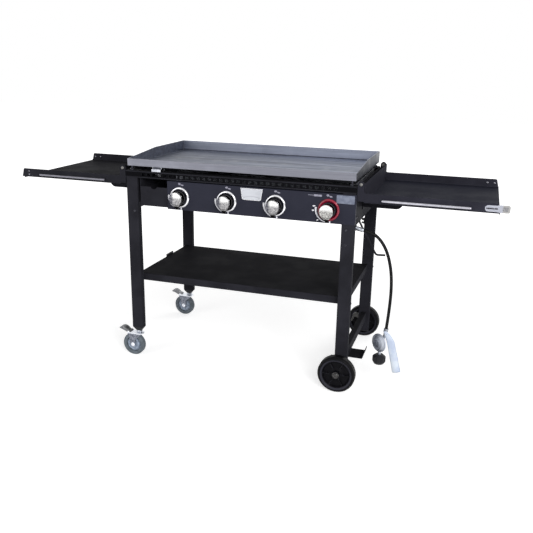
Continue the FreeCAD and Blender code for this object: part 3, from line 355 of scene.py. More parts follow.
# %% Group: grained skin with rounded edges
grained_skin, start, end = new_group(
    "grained_skin", "ShaderNodeTree",
    {"Vector": "Vector", "Scale": 800.0, "Depth": 0.00003, "Edge": 0.0008}, {"Normal": "Vector"})
round_normal = add(grained_skin, "Bevel", {"Radius": (start, "Edge")})
grain = add(grained_skin, "TexNoise", {
    "Vector": (start, "Vector"), "Scale": (start, "Scale"), "Detail": 2.0, "Roughness": 0.6})
bump = add(grained_skin, "Bump", {
    "Distance": (start, "Depth"), "Height": (grain, "Fac"), "Normal": (round_normal, "Normal")})
join((bump, "Normal"), end.inputs["Normal"])

# %% Group: brushed lines
brushed_lines, start, end = new_group(
    "brushed_lines", "ShaderNodeTree",
    {"Vector": "Vector", "Stretch": (4.0, 900.0, 900.0), "Depth": 0.00002, "Edge": 0.0008},
    {"Normal": "Vector", "Line": "Float"})
stretch = add(brushed_lines, "VectorMath", {0: (start, "Vector"), 1: (start, "Stretch")}, operation="MULTIPLY")
lines = add(brushed_lines, "TexNoise", {"Vector": (stretch, "Vector"), "Scale": 1.0, "Detail": 2.0})
round_normal = add(brushed_lines, "Bevel", {"Radius": (start, "Edge")})
bump = add(brushed_lines, "Bump", {
    "Distance": (start, "Depth"), "Height": (lines, "Fac"), "Normal": (round_normal, "Normal")})
join((bump, "Normal"), end.inputs["Normal"])
join((lines, "Fac"), end.inputs["Line"])

# %% Group: faces that look along its vector
# Its mask is used to paint light and shade by the way a face looks.
facing, start, end = new_group(
    "facing", "ShaderNodeTree", {"Vector": (0.0, 0.0, 1.0), "Start": 0.0, "Stop": 1.0}, {"Mask": "Float"})
surface = add(facing, "NewGeometry")
slope = add(facing, "VectorMath", {0: (surface, "Normal"), 1: (start, "Vector")}, operation="DOT_PRODUCT")
rise = add(facing, "MapRange", {
    "Value": (slope, "Value"), "From Min": (start, "Start"), "From Max": (start, "Stop")})
join((rise, "Result"), end.inputs["Mask"])

# %% Group: distance from an axle that lies along Y
from_axle, start, end = new_group(
    "from_axle", "ShaderNodeTree", {"Vector": "Vector", "Axle": (0.0, 0.0, 0.0)}, {"Distance": "Float"})
centred = add(from_axle, "Mapping", {"Vector": (start, "Vector"), "Location": (start, "Axle")}, vector_type="TEXTURE")
flat = add(from_axle, "VectorMath", {0: (centred, "Vector"), 1: (1.0, 0.0, 1.0)}, operation="MULTIPLY")
reach = add(from_axle, "VectorMath", {0: (flat, "Vector")}, operation="LENGTH")
join((reach, "Value"), end.inputs["Distance"])

# %% [markdown]
# ## How one finish is wired
#
# A finish starts from plain numbers on its shader, then masks blend its colours. Every helper below takes
# what it blends as a node and the name of its output. A node knows its own tree, so the tree needs no
# naming.

# %% Helpers that wire one finish
finishes = {}


def linear(*screen):
    """A screen colour from 0 to 255 as the plain light values that a shader takes."""
    shares = [value / 255 for value in screen]
    return (*(v / 12.92 if v <= 0.04045 else ((v + 0.055) / 1.055) ** 2.4 for v in shares), 1.0)


def new_finish(name, base, rough, metal=0.0, shine=0.5):
    """Files a material with plain socket values, and gives the Object coordinates to build on."""
    look = bpy.data.materials.new(name)
    look.use_nodes = True
    look.diffuse_color = linear(*base)
    for entry, value in {
            "Base Color": linear(*base), "Roughness": rough, "Metallic": metal, "Specular IOR Level": shine}.items():
        join(value, look.node_tree.nodes["Principled BSDF"].inputs[entry])
    finishes[name] = look
    return add(look.node_tree, "TexCoord"), "Object"


def over(place, group, output="Mask", **values):
    """What a group makes of the Object coordinates, with values for its other sockets."""
    return add(place[0].id_data, "Group", {"Vector": place, **values}, node_tree=group), output


def axes(place):
    """A node with a place's X, Y and Z."""
    return add(place[0].id_data, "SeparateXYZ", {"Vector": place})


def tint(mask, low, high):
    """The colour that a mask blends from low to high, each a screen colour or a pair that gives one."""
    low, high = (c if isinstance(c[0], bpy.types.Node) else linear(*c) for c in (low, high))
    return add(mask[0].id_data, "Mix", {0: mask, 6: low, 7: high}, data_type="RGBA"), 2


def switch(source, start, stop):
    """A mask that goes from nought to one between two values."""
    return add(source[0].id_data, "MapRange", {"Value": source, "From Min": start, "From Max": stop}), "Result"


def close_to(source, middle, half):
    """A mask that is one where a value lies close to the middle."""
    return add(source[0].id_data, "Math", {0: source, 1: middle, 2: half}, operation="COMPARE"), "Value"


def both(first, second):
    """The mask where two masks meet."""
    return add(first[0].id_data, "Math", {0: first, 1: second}, operation="MULTIPLY"), "Value"


def wire(place, colour, gloss, rough, normal):
    """Joins colour and normal to the shader, and a roughness that a mask moves between two values."""
    tree = place[0].id_data
    spread = add(tree, "MapRange", {"Value": gloss, "To Min": rough[0], "To Max": rough[1]})
    for entry, pair in {"Base Color": colour, "Roughness": (spread, "Result"), "Normal": normal}.items():
        join(pair, tree.nodes["Principled BSDF"].inputs[entry])


# %% [markdown]
# ## Painted, moulded and rubber finishes
#
# The cart is powder coated: matt black with a fine orange-peel grain and paler rubbed edges. Its top faces
# get a darker tone, a painted shade, and the right shelf a paler copy of the coat, a painted light. The
# panel's coat is smoother and a touch blue. The moulded wheels, caps and nut are black plastic, the caster
# treads grey rubber, the hose black rubber. All are one recipe with their own numbers, so one helper makes
# them, and only their colours (dark, pale, worn), roughness, grain and wear are given here.

# %% Paint, plastic and rubber
def coated(name, dark, pale, worn, rough, shine=0.3, metal=0.0, cloud=12.0, grain=900.0, depth=0.00002,
           wear=0.0012, top_shade=None, band=None):
    """Paint, rubber, plastic or cast metal; its top faces can take a darker tone, a painted shade, and band is a
    (height, half, tone).
    """
    place = new_finish(name, dark, rough[0], metal, shine)
    cloudy = over(place, clouds, Scale=cloud)
    skinned = tint(cloudy, dark, pale)
    if top_shade:
        # Top faces take a darker tone: a painted shade.
        skinned = tint(over(place, facing, Vector=(0.0, 0.0, 1.0), Start=0.6, Stop=0.9), skinned, top_shade)
    if band:
        height, half, tone = band
        skinned = tint(close_to((axes(place), "Z"), height, half), skinned, tone)
    skinned = tint(over(place, rubbed_edge, Width=wear), skinned, worn)
    wire(place, skinned, cloudy, rough, over(place, grained_skin, "Normal", Scale=grain, Depth=depth))


POWDER = {"worn": (64, 64, 72), "rough": (0.56, 0.68), "shine": 0.012, "cloud": 9.0, "grain": 850.0,
          "depth": 0.00003}
BLACK = {"dark": (38, 38, 43), "pale": (46, 46, 52), "top_shade": (31, 31, 34), **POWDER}
# The rail is darker in a band along its slots.
SLOT_BAND = (0.804, 0.0095, (17, 17, 20))
coated("black_steel", **BLACK)
coated("slotted_rail", **BLACK, band=SLOT_BAND)
# The right shelf is a paler copy of the black coat: painted light.
coated("right_tray_painted_light", dark=(44, 44, 52), pale=(52, 52, 61), top_shade=(38, 39, 48), **POWDER)
coated("panel_black", (36, 37, 49), (42, 43, 55), (70, 71, 84), (0.44, 0.54), 0.12, cloud=7.0, grain=1200.0)
coated("black_plastic", (17, 17, 21), (25, 25, 30), (58, 58, 64), (0.36, 0.5), 0.25, grain=1500.0)
coated(
    "caster_rubber", (92, 100, 107), (114, 123, 131), (80, 84, 90), (0.62, 0.78), cloud=60.0, grain=2600.0,
    depth=0.00003, wear=0.003)
coated("caster_hub", (122, 134, 152), (164, 178, 198), (200, 208, 220), (0.3, 0.45), 0.5, cloud=90.0, grain=2000.0)
coated(
    "dull_steel", (84, 86, 92), (118, 120, 127), (168, 170, 176), (0.4, 0.58), 0.5, metal=0.85, cloud=30.0,
    grain=600.0)
coated(
    "burner_steel", (112, 112, 114), (150, 146, 140), (120, 96, 70), (0.34, 0.5), metal=0.95, cloud=16.0,
    grain=700.0, wear=0.004)
coated(
    "pipe_alloy", (128, 130, 134), (158, 160, 164), (196, 198, 202), (0.42, 0.6), metal=0.9, cloud=40.0,
    grain=1600.0, depth=0.00006)
coated(
    "hose_rubber", (10, 10, 12), (16, 16, 18), (44, 44, 50), (0.36, 0.48), 0.12, cloud=40.0, grain=1800.0,
    depth=0.00003)
coated(
    "card", (196, 208, 230), (222, 231, 243), (240, 246, 252), (0.55, 0.7), cloud=26.0, grain=1400.0,
    depth=0.00001, wear=0.001)
print("painted", list(finishes))

# %% [markdown]
# ## The wheels' own black
#
# A blow-moulded wheel is darker in its dish than on its tread, and a pale ring at the dish's edge is a
# painted highlight. The distance from the axle is the same all round, so it makes the rings, and its sine
# the moulding lines.

# %% Wheel plastic
WHEEL_AXLE = (0.425, 0.0, 0.075)
WHEEL_RADIUS = 0.075
DISH_RADIUS = 0.8 * WHEEL_RADIUS
DISH_EDGE = 0.0035
LINE_RATE = 2600.0

place = new_finish("wheel_black", (16, 16, 20), 0.42, shine=0.08)
tree = place[0].id_data
reach = over(place, from_axle, "Distance", Axle=WHEEL_AXLE)
turns = add(tree, "Math", {0: reach, 1: LINE_RATE}, operation="MULTIPLY")
rings = add(tree, "Math", {0: (turns, "Value")}, operation="SINE")
skin = over(place, grained_skin, "Normal", Scale=1400.0, Depth=0.00003, Edge=0.0012)
line_bump = add(tree, "Bump", {"Distance": 0.00012, "Height": (rings, "Value"), "Normal": skin})
dish_to_tread = tint(switch(reach, DISH_RADIUS, WHEEL_RADIUS), (7, 7, 11), (14, 14, 16))
# A pale ring at the dish's edge: a painted highlight.
with_highlight_ring = tint(close_to(reach, DISH_RADIUS, DISH_EDGE), dish_to_tread, (50, 50, 58))
worn = tint(over(place, rubbed_edge, Width=0.002), with_highlight_ring, (66, 66, 74))
wire(place, worn, over(place, clouds, Scale=50.0), (0.34, 0.52), (line_bump, "Normal"))
print("wheel radius", WHEEL_RADIUS)

# %% [markdown]
# ## Bright metals
#
# Bars, badge and opener are brushed along their length, the small fasteners are zinc plated with a faint
# crystal pattern, and the knob rings are chromed. Brushing is noise stretched along one axis, so each
# finish only says which axis. Zinc crystals come from a Voronoi texture, whose cells meet in straight lines
# as real ones do. Some carry painted light: the left towel bar is a darker copy of the bar, a painted shade;
# the casters' forks have a painted highlight at the axle and on the crown; the regulator has a painted
# highlight on its right and painted shade on its left; the opener's groove is painted shade; and the rings'
# lower left slopes carry a painted reflection of the dark ground, painted shade on the red one.

# %% Brushed finishes
def brushed(name, dark, pale, rough, stretch):
    """Drawn, rolled or brushed metal: fine lines along one direction under soft clouds."""
    place = new_finish(name, pale, rough[0], metal=1.0)
    lines = over(place, brushed_lines, "Line", Stretch=stretch, Depth=0.00002, Edge=0.0006)
    cloudy = over(place, clouds, Scale=20.0)
    wire(place, tint(cloudy, tint(lines, dark, pale), pale), cloudy, rough, (lines[0], "Normal"))


DRAWN_X = (6.0, 700.0, 700.0)
BRUSHED_X = (10.0, 900.0, 900.0)
BRUSHED_Z = (900.0, 900.0, 14.0)
brushed("stainless", (134, 136, 144), (172, 174, 182), (0.26, 0.38), BRUSHED_X)
brushed("bar_steel", (150, 149, 157), (190, 189, 198), (0.24, 0.38), DRAWN_X)
# The left towel bar is a darker copy of the bright bar: painted shade.
brushed("left_bar_painted_shade", (84, 83, 90), (118, 117, 125), (0.3, 0.42), DRAWN_X)
brushed("chute_steel", (140, 142, 150), (186, 188, 195), (0.24, 0.38), BRUSHED_Z)
brushed("badge_silver", (160, 162, 168), (186, 188, 194), (0.42, 0.52), BRUSHED_X)
print("bright steels", len(finishes))

# %% Regulator and opener
# The regulator has a painted highlight on its right and painted shade on its left, over its cast spots.
REGULATOR_DARK_SIDE = (-0.85, 0.3, -0.3)
place = new_finish("regulator_alloy", (176, 181, 192), 0.45, metal=0.6)
spots = over(place, clouds, Scale=210.0, Low=0.4, High=0.6)
regulator_shade = over(place, facing, Vector=REGULATOR_DARK_SIDE, Start=-0.8, Stop=0.3)
cast = tint(regulator_shade, (216, 221, 231), tint(spots, (76, 80, 92), (118, 124, 137)))
wire(place, cast, spots, (0.4, 0.52), over(place, grained_skin, "Normal", Scale=1600.0, Edge=0.0012))

OPENER_MID_Z = 0.776
GROOVE_MID_X = 0.9335
GROOVE_HALF = (0.0195, 0.0026)
SHELF_END_X = (0.9680, 0.9710)
place = new_finish("opener_steel", (150, 152, 160), 0.4, metal=1.0)
lines = over(place, brushed_lines, "Line", Stretch=BRUSHED_X, Depth=0.00002, Edge=0.0008)
where = axes(place)
# The groove is painted darker: painted shade in a pressed recess.
in_groove = both(
    close_to((where, "X"), GROOVE_MID_X, GROOVE_HALF[0]), close_to((where, "Z"), OPENER_MID_Z, GROOVE_HALF[1]))
grooved = tint(in_groove, tint(lines, (136, 138, 147), (174, 176, 186)), (60, 60, 66))
worn = tint(over(place, rubbed_edge, Width=0.0022, Patches=20.0), grooved, (206, 208, 216))
past_shelf = switch((where, "X"), *SHELF_END_X)
wire(place, tint(past_shelf, worn, (150, 149, 148)), lines, (0.34, 0.5), (lines[0], "Normal"))
print("groove length", 2 * GROOVE_HALF[0])

# %% Zinc plate
# Painted highlights on the casters' forks, at the axle and on the crown.
HIGHLIGHT_ZINC = (232, 235, 242)
CASTER_AXLE = (-0.491, 0.0, 0.050)
HUB_REACH = (0.0095, 0.0085)
FORK_CROWN_Z = (0.1000, 0.1010)


def zinc_finish(name, dark, pale, rough, cell_scale=420.0, highlight_axle=None):
    """Plated steel: cells of slightly different grey, with a painted highlight at an axle and on the crown if asked.
    """
    place = new_finish(name, pale, rough[0], metal=1.0)
    cells = add(place[0].id_data, "TexVoronoi", {"Vector": place, "Scale": cell_scale})
    tone = add(place[0].id_data, "SeparateColor", {"Color": (cells, "Color")})
    plated = tint((tone, "Red"), dark, pale)
    if highlight_axle:
        plated = tint(switch(over(place, from_axle, "Distance", Axle=highlight_axle), *HUB_REACH), plated, HIGHLIGHT_ZINC)
        plated = tint(switch((axes(place), "Z"), *FORK_CROWN_Z), plated, HIGHLIGHT_ZINC)
    worn = tint(over(place, rubbed_edge, Width=0.0006, Patches=200.0), plated, (226, 228, 232))
    skin = over(place, grained_skin, "Normal", Scale=2200.0, Depth=0.00001, Edge=0.0004)
    wire(place, worn, (tone, "Green"), rough, skin)


zinc_finish("zinc", (150, 154, 162), (196, 200, 208), (0.22, 0.38))
zinc_finish("zinc_fork", (88, 91, 101), (148, 152, 163), (0.26, 0.42), 260.0, CASTER_AXLE)
zinc_finish("brake_steel", (88, 90, 93), (148, 149, 152), (0.36, 0.5), 260.0)
zinc_finish("pressed_lip", (84, 84, 86), (152, 152, 155), (0.4, 0.55), 520.0)
zinc_finish("dim_bolts", (92, 92, 92), (128, 127, 124), (0.35, 0.5))
zinc_finish("axle_steel", (52, 51, 52), (84, 83, 82), (0.35, 0.5))
zinc_finish("dark_screws", (38, 38, 44), (60, 60, 68), (0.35, 0.5))
print("with zinc", len(finishes))

# %% Chrome and red enamel
SHADED_SIDE = (-0.97, 0.0, -0.2)


def ring_finish(name, bright, shaded, rough, metal):
    """A bright ring with a painted reflection of the dark ground on its lower left slopes; on red enamel it is
    painted shade.
    """
    place = new_finish(name, bright, rough[0], metal)
    in_shade = over(place, facing, Vector=SHADED_SIDE, Start=-0.15, Stop=0.5)
    smudge = over(place, clouds, Scale=130.0, Low=0.4, High=0.62)
    skin = over(place, grained_skin, "Normal", Scale=900.0, Depth=0.00001, Edge=0.0022)
    wire(place, tint(in_shade, bright, shaded), smudge, rough, skin)


ring_finish("chrome", (232, 232, 236), (92, 92, 100), (0.14, 0.26), 1.0)
ring_finish("red_ring", (150, 22, 50), (58, 2, 14), (0.1, 0.16), 0.0)
print("finishes", len(finishes))

# %% [markdown]
# ## The griddle's steel
#
# The plate is bare rolled steel: long faint rolling lines, blotchy mill scale, a thin film of oil. Its outer
# rim is brighter than the cooking face. The cooking face darkens towards its left end and the right end
# wall's outside is dark, both painted shade. The well is told from the rim by height and place, which are
# plain numbers of the Object coordinates, so the mask needs no extra faces in the plate.

# %% Griddle steel
PLATE_INSIDE_Y = -0.2655
PLATE_BACK_Y = 0.2655
PLATE_END_X = 0.4530
JOINT_TOP_Z = 0.8462
JOINT_FOOT_Z = 0.8440
SHADED_LEFT_X = (0.25, -0.46)
SHARP = 0.0008

place = new_finish("griddle_steel", (134, 137, 148), 0.4, metal=1.0)
lines = over(place, brushed_lines, "Line", Stretch=(5.0, 240.0, 240.0), Depth=0.00002, Edge=0.0009)
broad_lines = over(place, brushed_lines, "Line", Stretch=(1.6, 46.0, 90.0), Depth=0.00001, Edge=0.0009)
where = axes(place)
inside = switch((where, "Y"), PLATE_INSIDE_Y - SHARP, PLATE_INSIDE_Y + SHARP)
backwards = switch((where, "Y"), PLATE_BACK_Y - SHARP, PLATE_BACK_Y + SHARP)
# The right end wall's outside is painted dark: painted shade.
shaded_end_wall = switch((where, "X"), PLATE_END_X - SHARP, PLATE_END_X + SHARP)
# The cooking face darkens towards its left end: painted shade.
shaded_left = switch((where, "X"), *SHADED_LEFT_X)
joint = switch((where, "Z"), JOINT_TOP_Z, JOINT_FOOT_Z)
streaks = switch(broad_lines, 0.36, 0.64)
streaked = tint(streaks, (92, 97, 110), tint(lines, (122, 128, 143), (156, 162, 180)))
dark_end = tint(streaks, tint(lines, (66, 70, 80), (96, 100, 111)), (98, 102, 114))
well = tint(shaded_left, streaked, dark_end)
back_wall = tint(joint, tint(lines, (128, 133, 147), (172, 177, 192)), (74, 76, 86))
rim = tint(lines, (106, 107, 116), (130, 131, 140))
ended = tint(shaded_end_wall, tint(inside, rim, tint(backwards, well, back_wall)), (64, 67, 76))
worn = tint(over(place, rubbed_edge, Width=0.0018, Patches=30.0), ended, (150, 152, 160))
oil = over(place, clouds, Scale=17.0, Detail=3.0, Low=0.45, High=0.75)
wire(place, worn, oil, (0.5, 0.36), (lines[0], "Normal"))
print("plate end", PLATE_END_X)

# %% [markdown]
# ## The knobs
#
# Each knob is a glossy black body with a bright plated cap that runs down into the pointer. It is one solid,
# so the finish tells the two apart: plating where the surface lies at the front, above the pointer's
# tip, and black everywhere else. The cap's upper right is a painted highlight and its left a painted shade,
# and its lower part is clouded grey, a painted reflection of the dark ground. A thin grey line round the
# skirt's step is a painted highlight.

# %% Knob finishes
KNOB_X = (-0.252, -0.051, 0.149, 0.357)
KNOB_Z = 0.723
CAP_FROM_Y = -0.3122
SKIRT_STEP_Y = -0.2915
STEP_HALF = 0.0006
POINTER_DROP = 0.030
CAP_BLEND = 0.0004
TIP_BLEND = 0.001
SHADE_BLEND = 0.005
CLOUDED_RISE = 0.010
GREY_PART = ((118, 117, 120), (164, 163, 163))
PALE_PART = ((122, 120, 119), (182, 182, 178))


def knob_finish(name, centre_x, shade_x, dark, pale):
    """Black plastic with a plated cap: painted highlight above, painted shade at its left, painted reflection clouded
    below.
    """
    place = new_finish(name, (20, 20, 22), 0.2, shine=0.015)
    where = axes(place)
    plated = both(
        switch((where, "Y"), CAP_FROM_Y + CAP_BLEND, CAP_FROM_Y - CAP_BLEND),
        switch((where, "Z"), KNOB_Z - POINTER_DROP - TIP_BLEND, KNOB_Z - POINTER_DROP + TIP_BLEND))
    # The cap's upper right is a painted highlight, its left a painted shade.
    upper = switch((where, "Z"), KNOB_Z, KNOB_Z + CLOUDED_RISE)
    beside = switch((where, "X"), centre_x + shade_x - SHADE_BLEND, centre_x + shade_x + SHADE_BLEND)
    spots = over(place, clouds, Scale=170.0, Detail=2.0, Low=0.4, High=0.6)
    dimmed = tint(beside, tint(spots, (58, 58, 66), (112, 112, 118)), tint(spots, dark, pale))
    silver = tint(both(upper, beside), dimmed, (216, 216, 215))
    # A thin grey line at the skirt's step: a painted highlight.
    skirt = tint(close_to((where, "Y"), SKIRT_STEP_Y, STEP_HALF), (3, 3, 4), (84, 84, 86))
    skin = over(place, grained_skin, "Normal", Scale=160.0, Edge=0.0015)
    wire(place, tint(plated, skirt, silver), spots, (0.2, 0.32), skin)
    join(plated, place[0].id_data.nodes["Principled BSDF"].inputs["Metallic"])


# Per knob: where the painted shade on its cap ends, and the tones of its painted reflection.
KNOB_SHADES = ((-0.010, *GREY_PART), (-0.010, *GREY_PART), (-0.012, *GREY_PART), (-0.04, *PALE_PART))
for number, (x, shades) in enumerate(zip(KNOB_X, KNOB_SHADES), 1):
    knob_finish("knob_%d" % number, x, *shades)
print("knob finishes", number)

# %% [markdown]
# ## Dress every solid
#
# The record says which finish each solid takes. A few differ from it in tone alone: the casters' forks and
# brake pedals are duller than other zinc, most screws are blackened, the rail is darker in a band along its
# slots, the right shelf is a paler copy of the coat, a painted light, and the left towel bar a darker copy of
# the bright bar, a painted shade.

# %% Put the finishes on the solids
OWN_FINISH = {
    "front_rail": "slotted_rail", "shelf_tray_right": "right_tray_painted_light", "drawer_guides": "black_steel",
    "caster_fork_front": "zinc_fork", "caster_fork_rear": "zinc_fork", "brake_lever_front": "brake_steel",
    "brake_lever_rear": "brake_steel", "frame_screws": "dark_screws", "griddle_feet": "dark_screws",
    "pivot_bolts": "dim_bolts", "axle_hardware": "axle_steel", "towel_bar_left": "left_bar_painted_shade",
    "bottle_opener": "opener_steel", "badge_plate": "badge_silver",
    **{"knob_%d" % n: "knob_%d" % n for n in (1, 2, 3, 4)}}
slot_of_node = {part["node"]: part["material_slot"] for part in frame["record"]["subparts"]}
for node_name, solid in frame["nodes"].items():
    solid.data.materials.clear()
    solid.data.materials.append(finishes[OWN_FINISH.get(node_name, slot_of_node[node_name])])
for piece, finish in ((hose, "hose_rubber"), (tag, "card"), (tie, "black_plastic")):
    piece.data.materials.append(finishes[finish])
print("dressed", len(frame["nodes"]))

# %% [markdown]
# ## Enamel marks on the control panel
#
# Round each knob a white wedge is printed that grows thicker towards high heat, with two small marks above
# and a pip below. The panel's print is a thin coat of enamel. It could be a mask in the panel's finish, but
# thin plates keep crisp edges at any distance. Each wedge is given as angle, inner and outer radius, and
# drawn smoothly between.

# %% Shapes for the marks
PANEL_FACE_Y = -0.2810
ENAMEL = 0.0002
ON_PANEL = (PANEL_FACE_Y - ENAMEL, PANEL_FACE_Y + ENAMEL)
WEDGE = (
    (176, 43.2, 50.2), (184, 43.4, 50.0), (194, 43.4, 49.4), (206, 43.4, 48.8),
    (218, 43.4, 48.2), (230, 43.4, 47.8), (244, 43.6, 47.4), (260, 44.2, 46.6))
WEDGE_STEPS = 6
OVAL_POINTS = 20


def print_bar(build, centre_x, start, stop, low, high):
    """An upright bar, placed from a knob's centre."""
    corners = ((start, low), (stop, low), (stop, high), (start, high))
    add_plate(build, [(centre_x + x, KNOB_Z + z) for x, z in corners], *ON_PANEL)


def print_oval(build, centre_x, across, rise, wide, tall, tilt=0.0):
    """An oval, placed from a knob's centre."""
    points = []
    for i in range(OVAL_POINTS):
        turn = 2 * math.pi * i / OVAL_POINTS
        x, z = wide / 2 * math.cos(turn), tall / 2 * math.sin(turn)
        points.append((
            centre_x + across + x * math.cos(tilt) - z * math.sin(tilt),
            KNOB_Z + rise + x * math.sin(tilt) + z * math.cos(tilt)))
    add_plate(build, points, *ON_PANEL)


def print_wedge(build, centre_x, spread):
    """The heat wedge, as one curved strip that tapers."""
    rows = [
        [a + (b - a) * step / WEDGE_STEPS for a, b in zip(first, second)]
        for first, second in zip(WEDGE, WEDGE[1:]) for step in range(WEDGE_STEPS)] + [WEDGE[-1]]
    inner, outer = ([
        (centre_x + (row[side] + spread) / 1000 * math.cos(math.radians(row[0])),
         KNOB_Z + (row[side] + spread) / 1000 * math.sin(math.radians(row[0]))) for row in rows]
        for side in (1, 2))
    add_strip(build, inner, outer, *ON_PANEL)


def add_piece(build, name, finish, body):
    """The finished build as a piece that wears a finish and rides on a body."""
    piece = put_in_scene(name, mesh_from(build, name))
    piece.data.materials.append(finishes[finish])
    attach(piece, body)
    print(name, len(piece.data.polygons), "faces")


# %% Print the marks
RED_RING_MORE = 2.6
TICK = (-0.0500, -0.0420, 0.0040, 0.0078)
PIP = (0.0070, -0.0458, 0.0060, 0.0080)
RED_DOTS = (
    (-0.0560, 0.0115, 0.0120, 0.0050, 0.2), (-0.0590, -0.0055, 0.0090, 0.0060),
    (-0.0405, -0.0415, 0.0090, 0.0045, 0.3))
ENAMEL_SKIN = {"rough": (0.4, 0.55), "cloud": 300.0, "grain": 3000.0, "depth": 0.00001, "wear": 0.0004}

build = bmesh.new()
for x, spread in zip(KNOB_X, (0.0, 0.0, 0.0, RED_RING_MORE)):
    print_wedge(build, x, spread)
    print_bar(build, x - spread / 1000, *TICK)
    print_oval(build, x, *PIP)
for dot in RED_DOTS:
    print_oval(build, KNOB_X[3], *dot)
coated("enamel", (228, 228, 236), (246, 246, 250), (176, 176, 182), **ENAMEL_SKIN)
add_piece(build, "panel_marks", "enamel", "frame")

# %% Print the faint marks
FAINT_DOTS = ((0.0005, 0.0550, 0.0110, 0.0082), (0.0125, 0.0508, 0.0130, 0.0052, -0.15))
FAINT_BARS = ((-0.0580, -0.0270, 0.0482, 0.0555), (-0.0800, -0.0583, 0.0510, 0.0528))
RED_SHIFT = -0.005

build = bmesh.new()
for x, shift in zip(KNOB_X, (0.0, 0.0, 0.0, RED_SHIFT)):
    for dot in FAINT_DOTS:
        print_oval(build, x + shift, *dot)
for bar in FAINT_BARS:
    print_bar(build, KNOB_X[3], *bar)
coated("faint_enamel", (136, 135, 150), (164, 163, 178), (150, 150, 160), **ENAMEL_SKIN)
add_piece(build, "faint_marks", "faint_enamel", "frame")

# %% [markdown]
# ## The bare label and the badge
#
# At the panel's upper right sits a small pale label, and between the second and third knobs a brushed badge
# with a raised rim. Both are left bare. The label is given by the centres of its round corners. The badge's
# rim is one closed ring between two outlines, and its only decoration is a plain shallow arch.

# %% Stick on the label
LABEL_CENTRES = (0.389, 0.451, 0.754, 0.779)
LABEL_CORNER = 0.003


def quarter(centre_x, centre_z, radius, start, steps):
    """The points of a quarter circle."""
    turns = [math.radians(start + 90 * step / steps) for step in range(steps + 1)]
    return [(centre_x + radius * math.cos(turn), centre_z + radius * math.sin(turn)) for turn in turns]


left, right_end, low, high = LABEL_CENTRES
outline = []
for x, z, start_angle in ((right_end, high, 0), (left, high, 90), (left, low, 180), (right_end, low, 270)):
    outline += quarter(x, z, LABEL_CORNER, start_angle, 5)
build = bmesh.new()
add_plate(build, outline, *ON_PANEL)
coated(
    "label", (104, 110, 128), (126, 132, 150), (150, 154, 168), (0.35, 0.5), cloud=60.0, grain=1600.0,
    depth=0.00001, wear=0.0006)
add_piece(build, "bare_label", "label", "frame")

# %% Frame the badge
BADGE = (0.008, 0.098, 0.736, 0.782)
BADGE_FACE_Y = -0.2825
BADGE_RIM = 0.0022
BADGE_INSET = 0.015
BADGE_CORNER = 0.010
RIM_HEIGHT = 0.0006
SUNK = 0.0001


def badge_outline(inside):
    """The badge's outline, drawn in by a distance: straight on top, round corners below."""
    x_low, x_high, z_low, z_high = BADGE
    radius, corner_z = BADGE_CORNER - inside, z_low + BADGE_CORNER
    return [
        (x_high - inside, z_high - inside), (x_low + inside, z_high - inside),
        *quarter(x_low + BADGE_INSET, corner_z, radius, 180, 6),
        *quarter(x_high - BADGE_INSET, corner_z, radius, 270, 6)]


build = bmesh.new()
depths = (BADGE_FACE_Y + SUNK, BADGE_FACE_Y - RIM_HEIGHT)
outer, inner = badge_outline(0.0), badge_outline(BADGE_RIM)
loops = [
    [build.verts.new((x, y, z)) for x, z in outline]
    for outline, y in ((outer, depths[0]), (outer, depths[1]), (inner, depths[1]), (inner, depths[0]))]
for first, second in zip(loops, loops[1:] + loops[:1]):
    for i in range(len(outer)):
        build.faces.new((first[i - 1], first[i], second[i], second[i - 1]))
add_piece(build, "badge_rim", "chrome", "frame")

ARCH_STEPS = 18
ARCH_MARGIN = 0.012
ARCH_FOOT = 0.009
ARCH_RISE = 0.006
ARCH_LINE = 0.0010
arch_low = []
for step in range(ARCH_STEPS + 1):
    share = step / ARCH_STEPS
    arch_low.append((
        BADGE[0] + ARCH_MARGIN + share * (BADGE[1] - BADGE[0] - 2 * ARCH_MARGIN),
        BADGE[2] + ARCH_FOOT + ARCH_RISE * math.sin(math.pi * share)))
build = bmesh.new()
add_strip(build, arch_low, [(x, z + ARCH_LINE) for x, z in arch_low], BADGE_FACE_Y - 2 * SUNK, BADGE_FACE_Y + SUNK)
coated(
    "grey_line", (120, 122, 128), (146, 148, 154), (170, 172, 178), (0.4, 0.5), cloud=200.0, grain=2000.0,
    depth=0.00001, wear=0.0004)
add_piece(build, "badge_arch", "grey_line", "frame")

# %% [markdown]
# ## Repeated details by Geometry Nodes
#
# Weld beads, screw recesses, burner ports and crimp rings are one small shape set at many points. Placing
# them by hand would be slow and hard to change. A node tree takes a line or a set of points and puts the
# shape on each, with its sizes as named inputs. The tree ends in Realize Instances and Set Material, and
# its result is turned into a plain mesh that rides on one body. The screw recesses and burner ports are
# thin dark plates, painted shade where the real hollows would be.

# %% Helpers for node trees
def new_tree(name, entries):
    """A geometry tree with named sizes."""
    return new_group(
        name, "GeometryNodeTree", {"Geometry": "Geometry", **entries, "Finish": "Material"}, {"Geometry": "Geometry"})


def end_tree(tree, start, end, shapes):
    """Turns the repeated shapes into real faces with their finish."""
    apart = add(tree, "GeometryNodeRealizeInstances", {"Geometry": shapes})
    dressed = add(tree, "GeometryNodeSetMaterial", {"Geometry": (apart, "Geometry"), "Material": (start, "Finish")})
    join((dressed, "Geometry"), end.inputs["Geometry"])


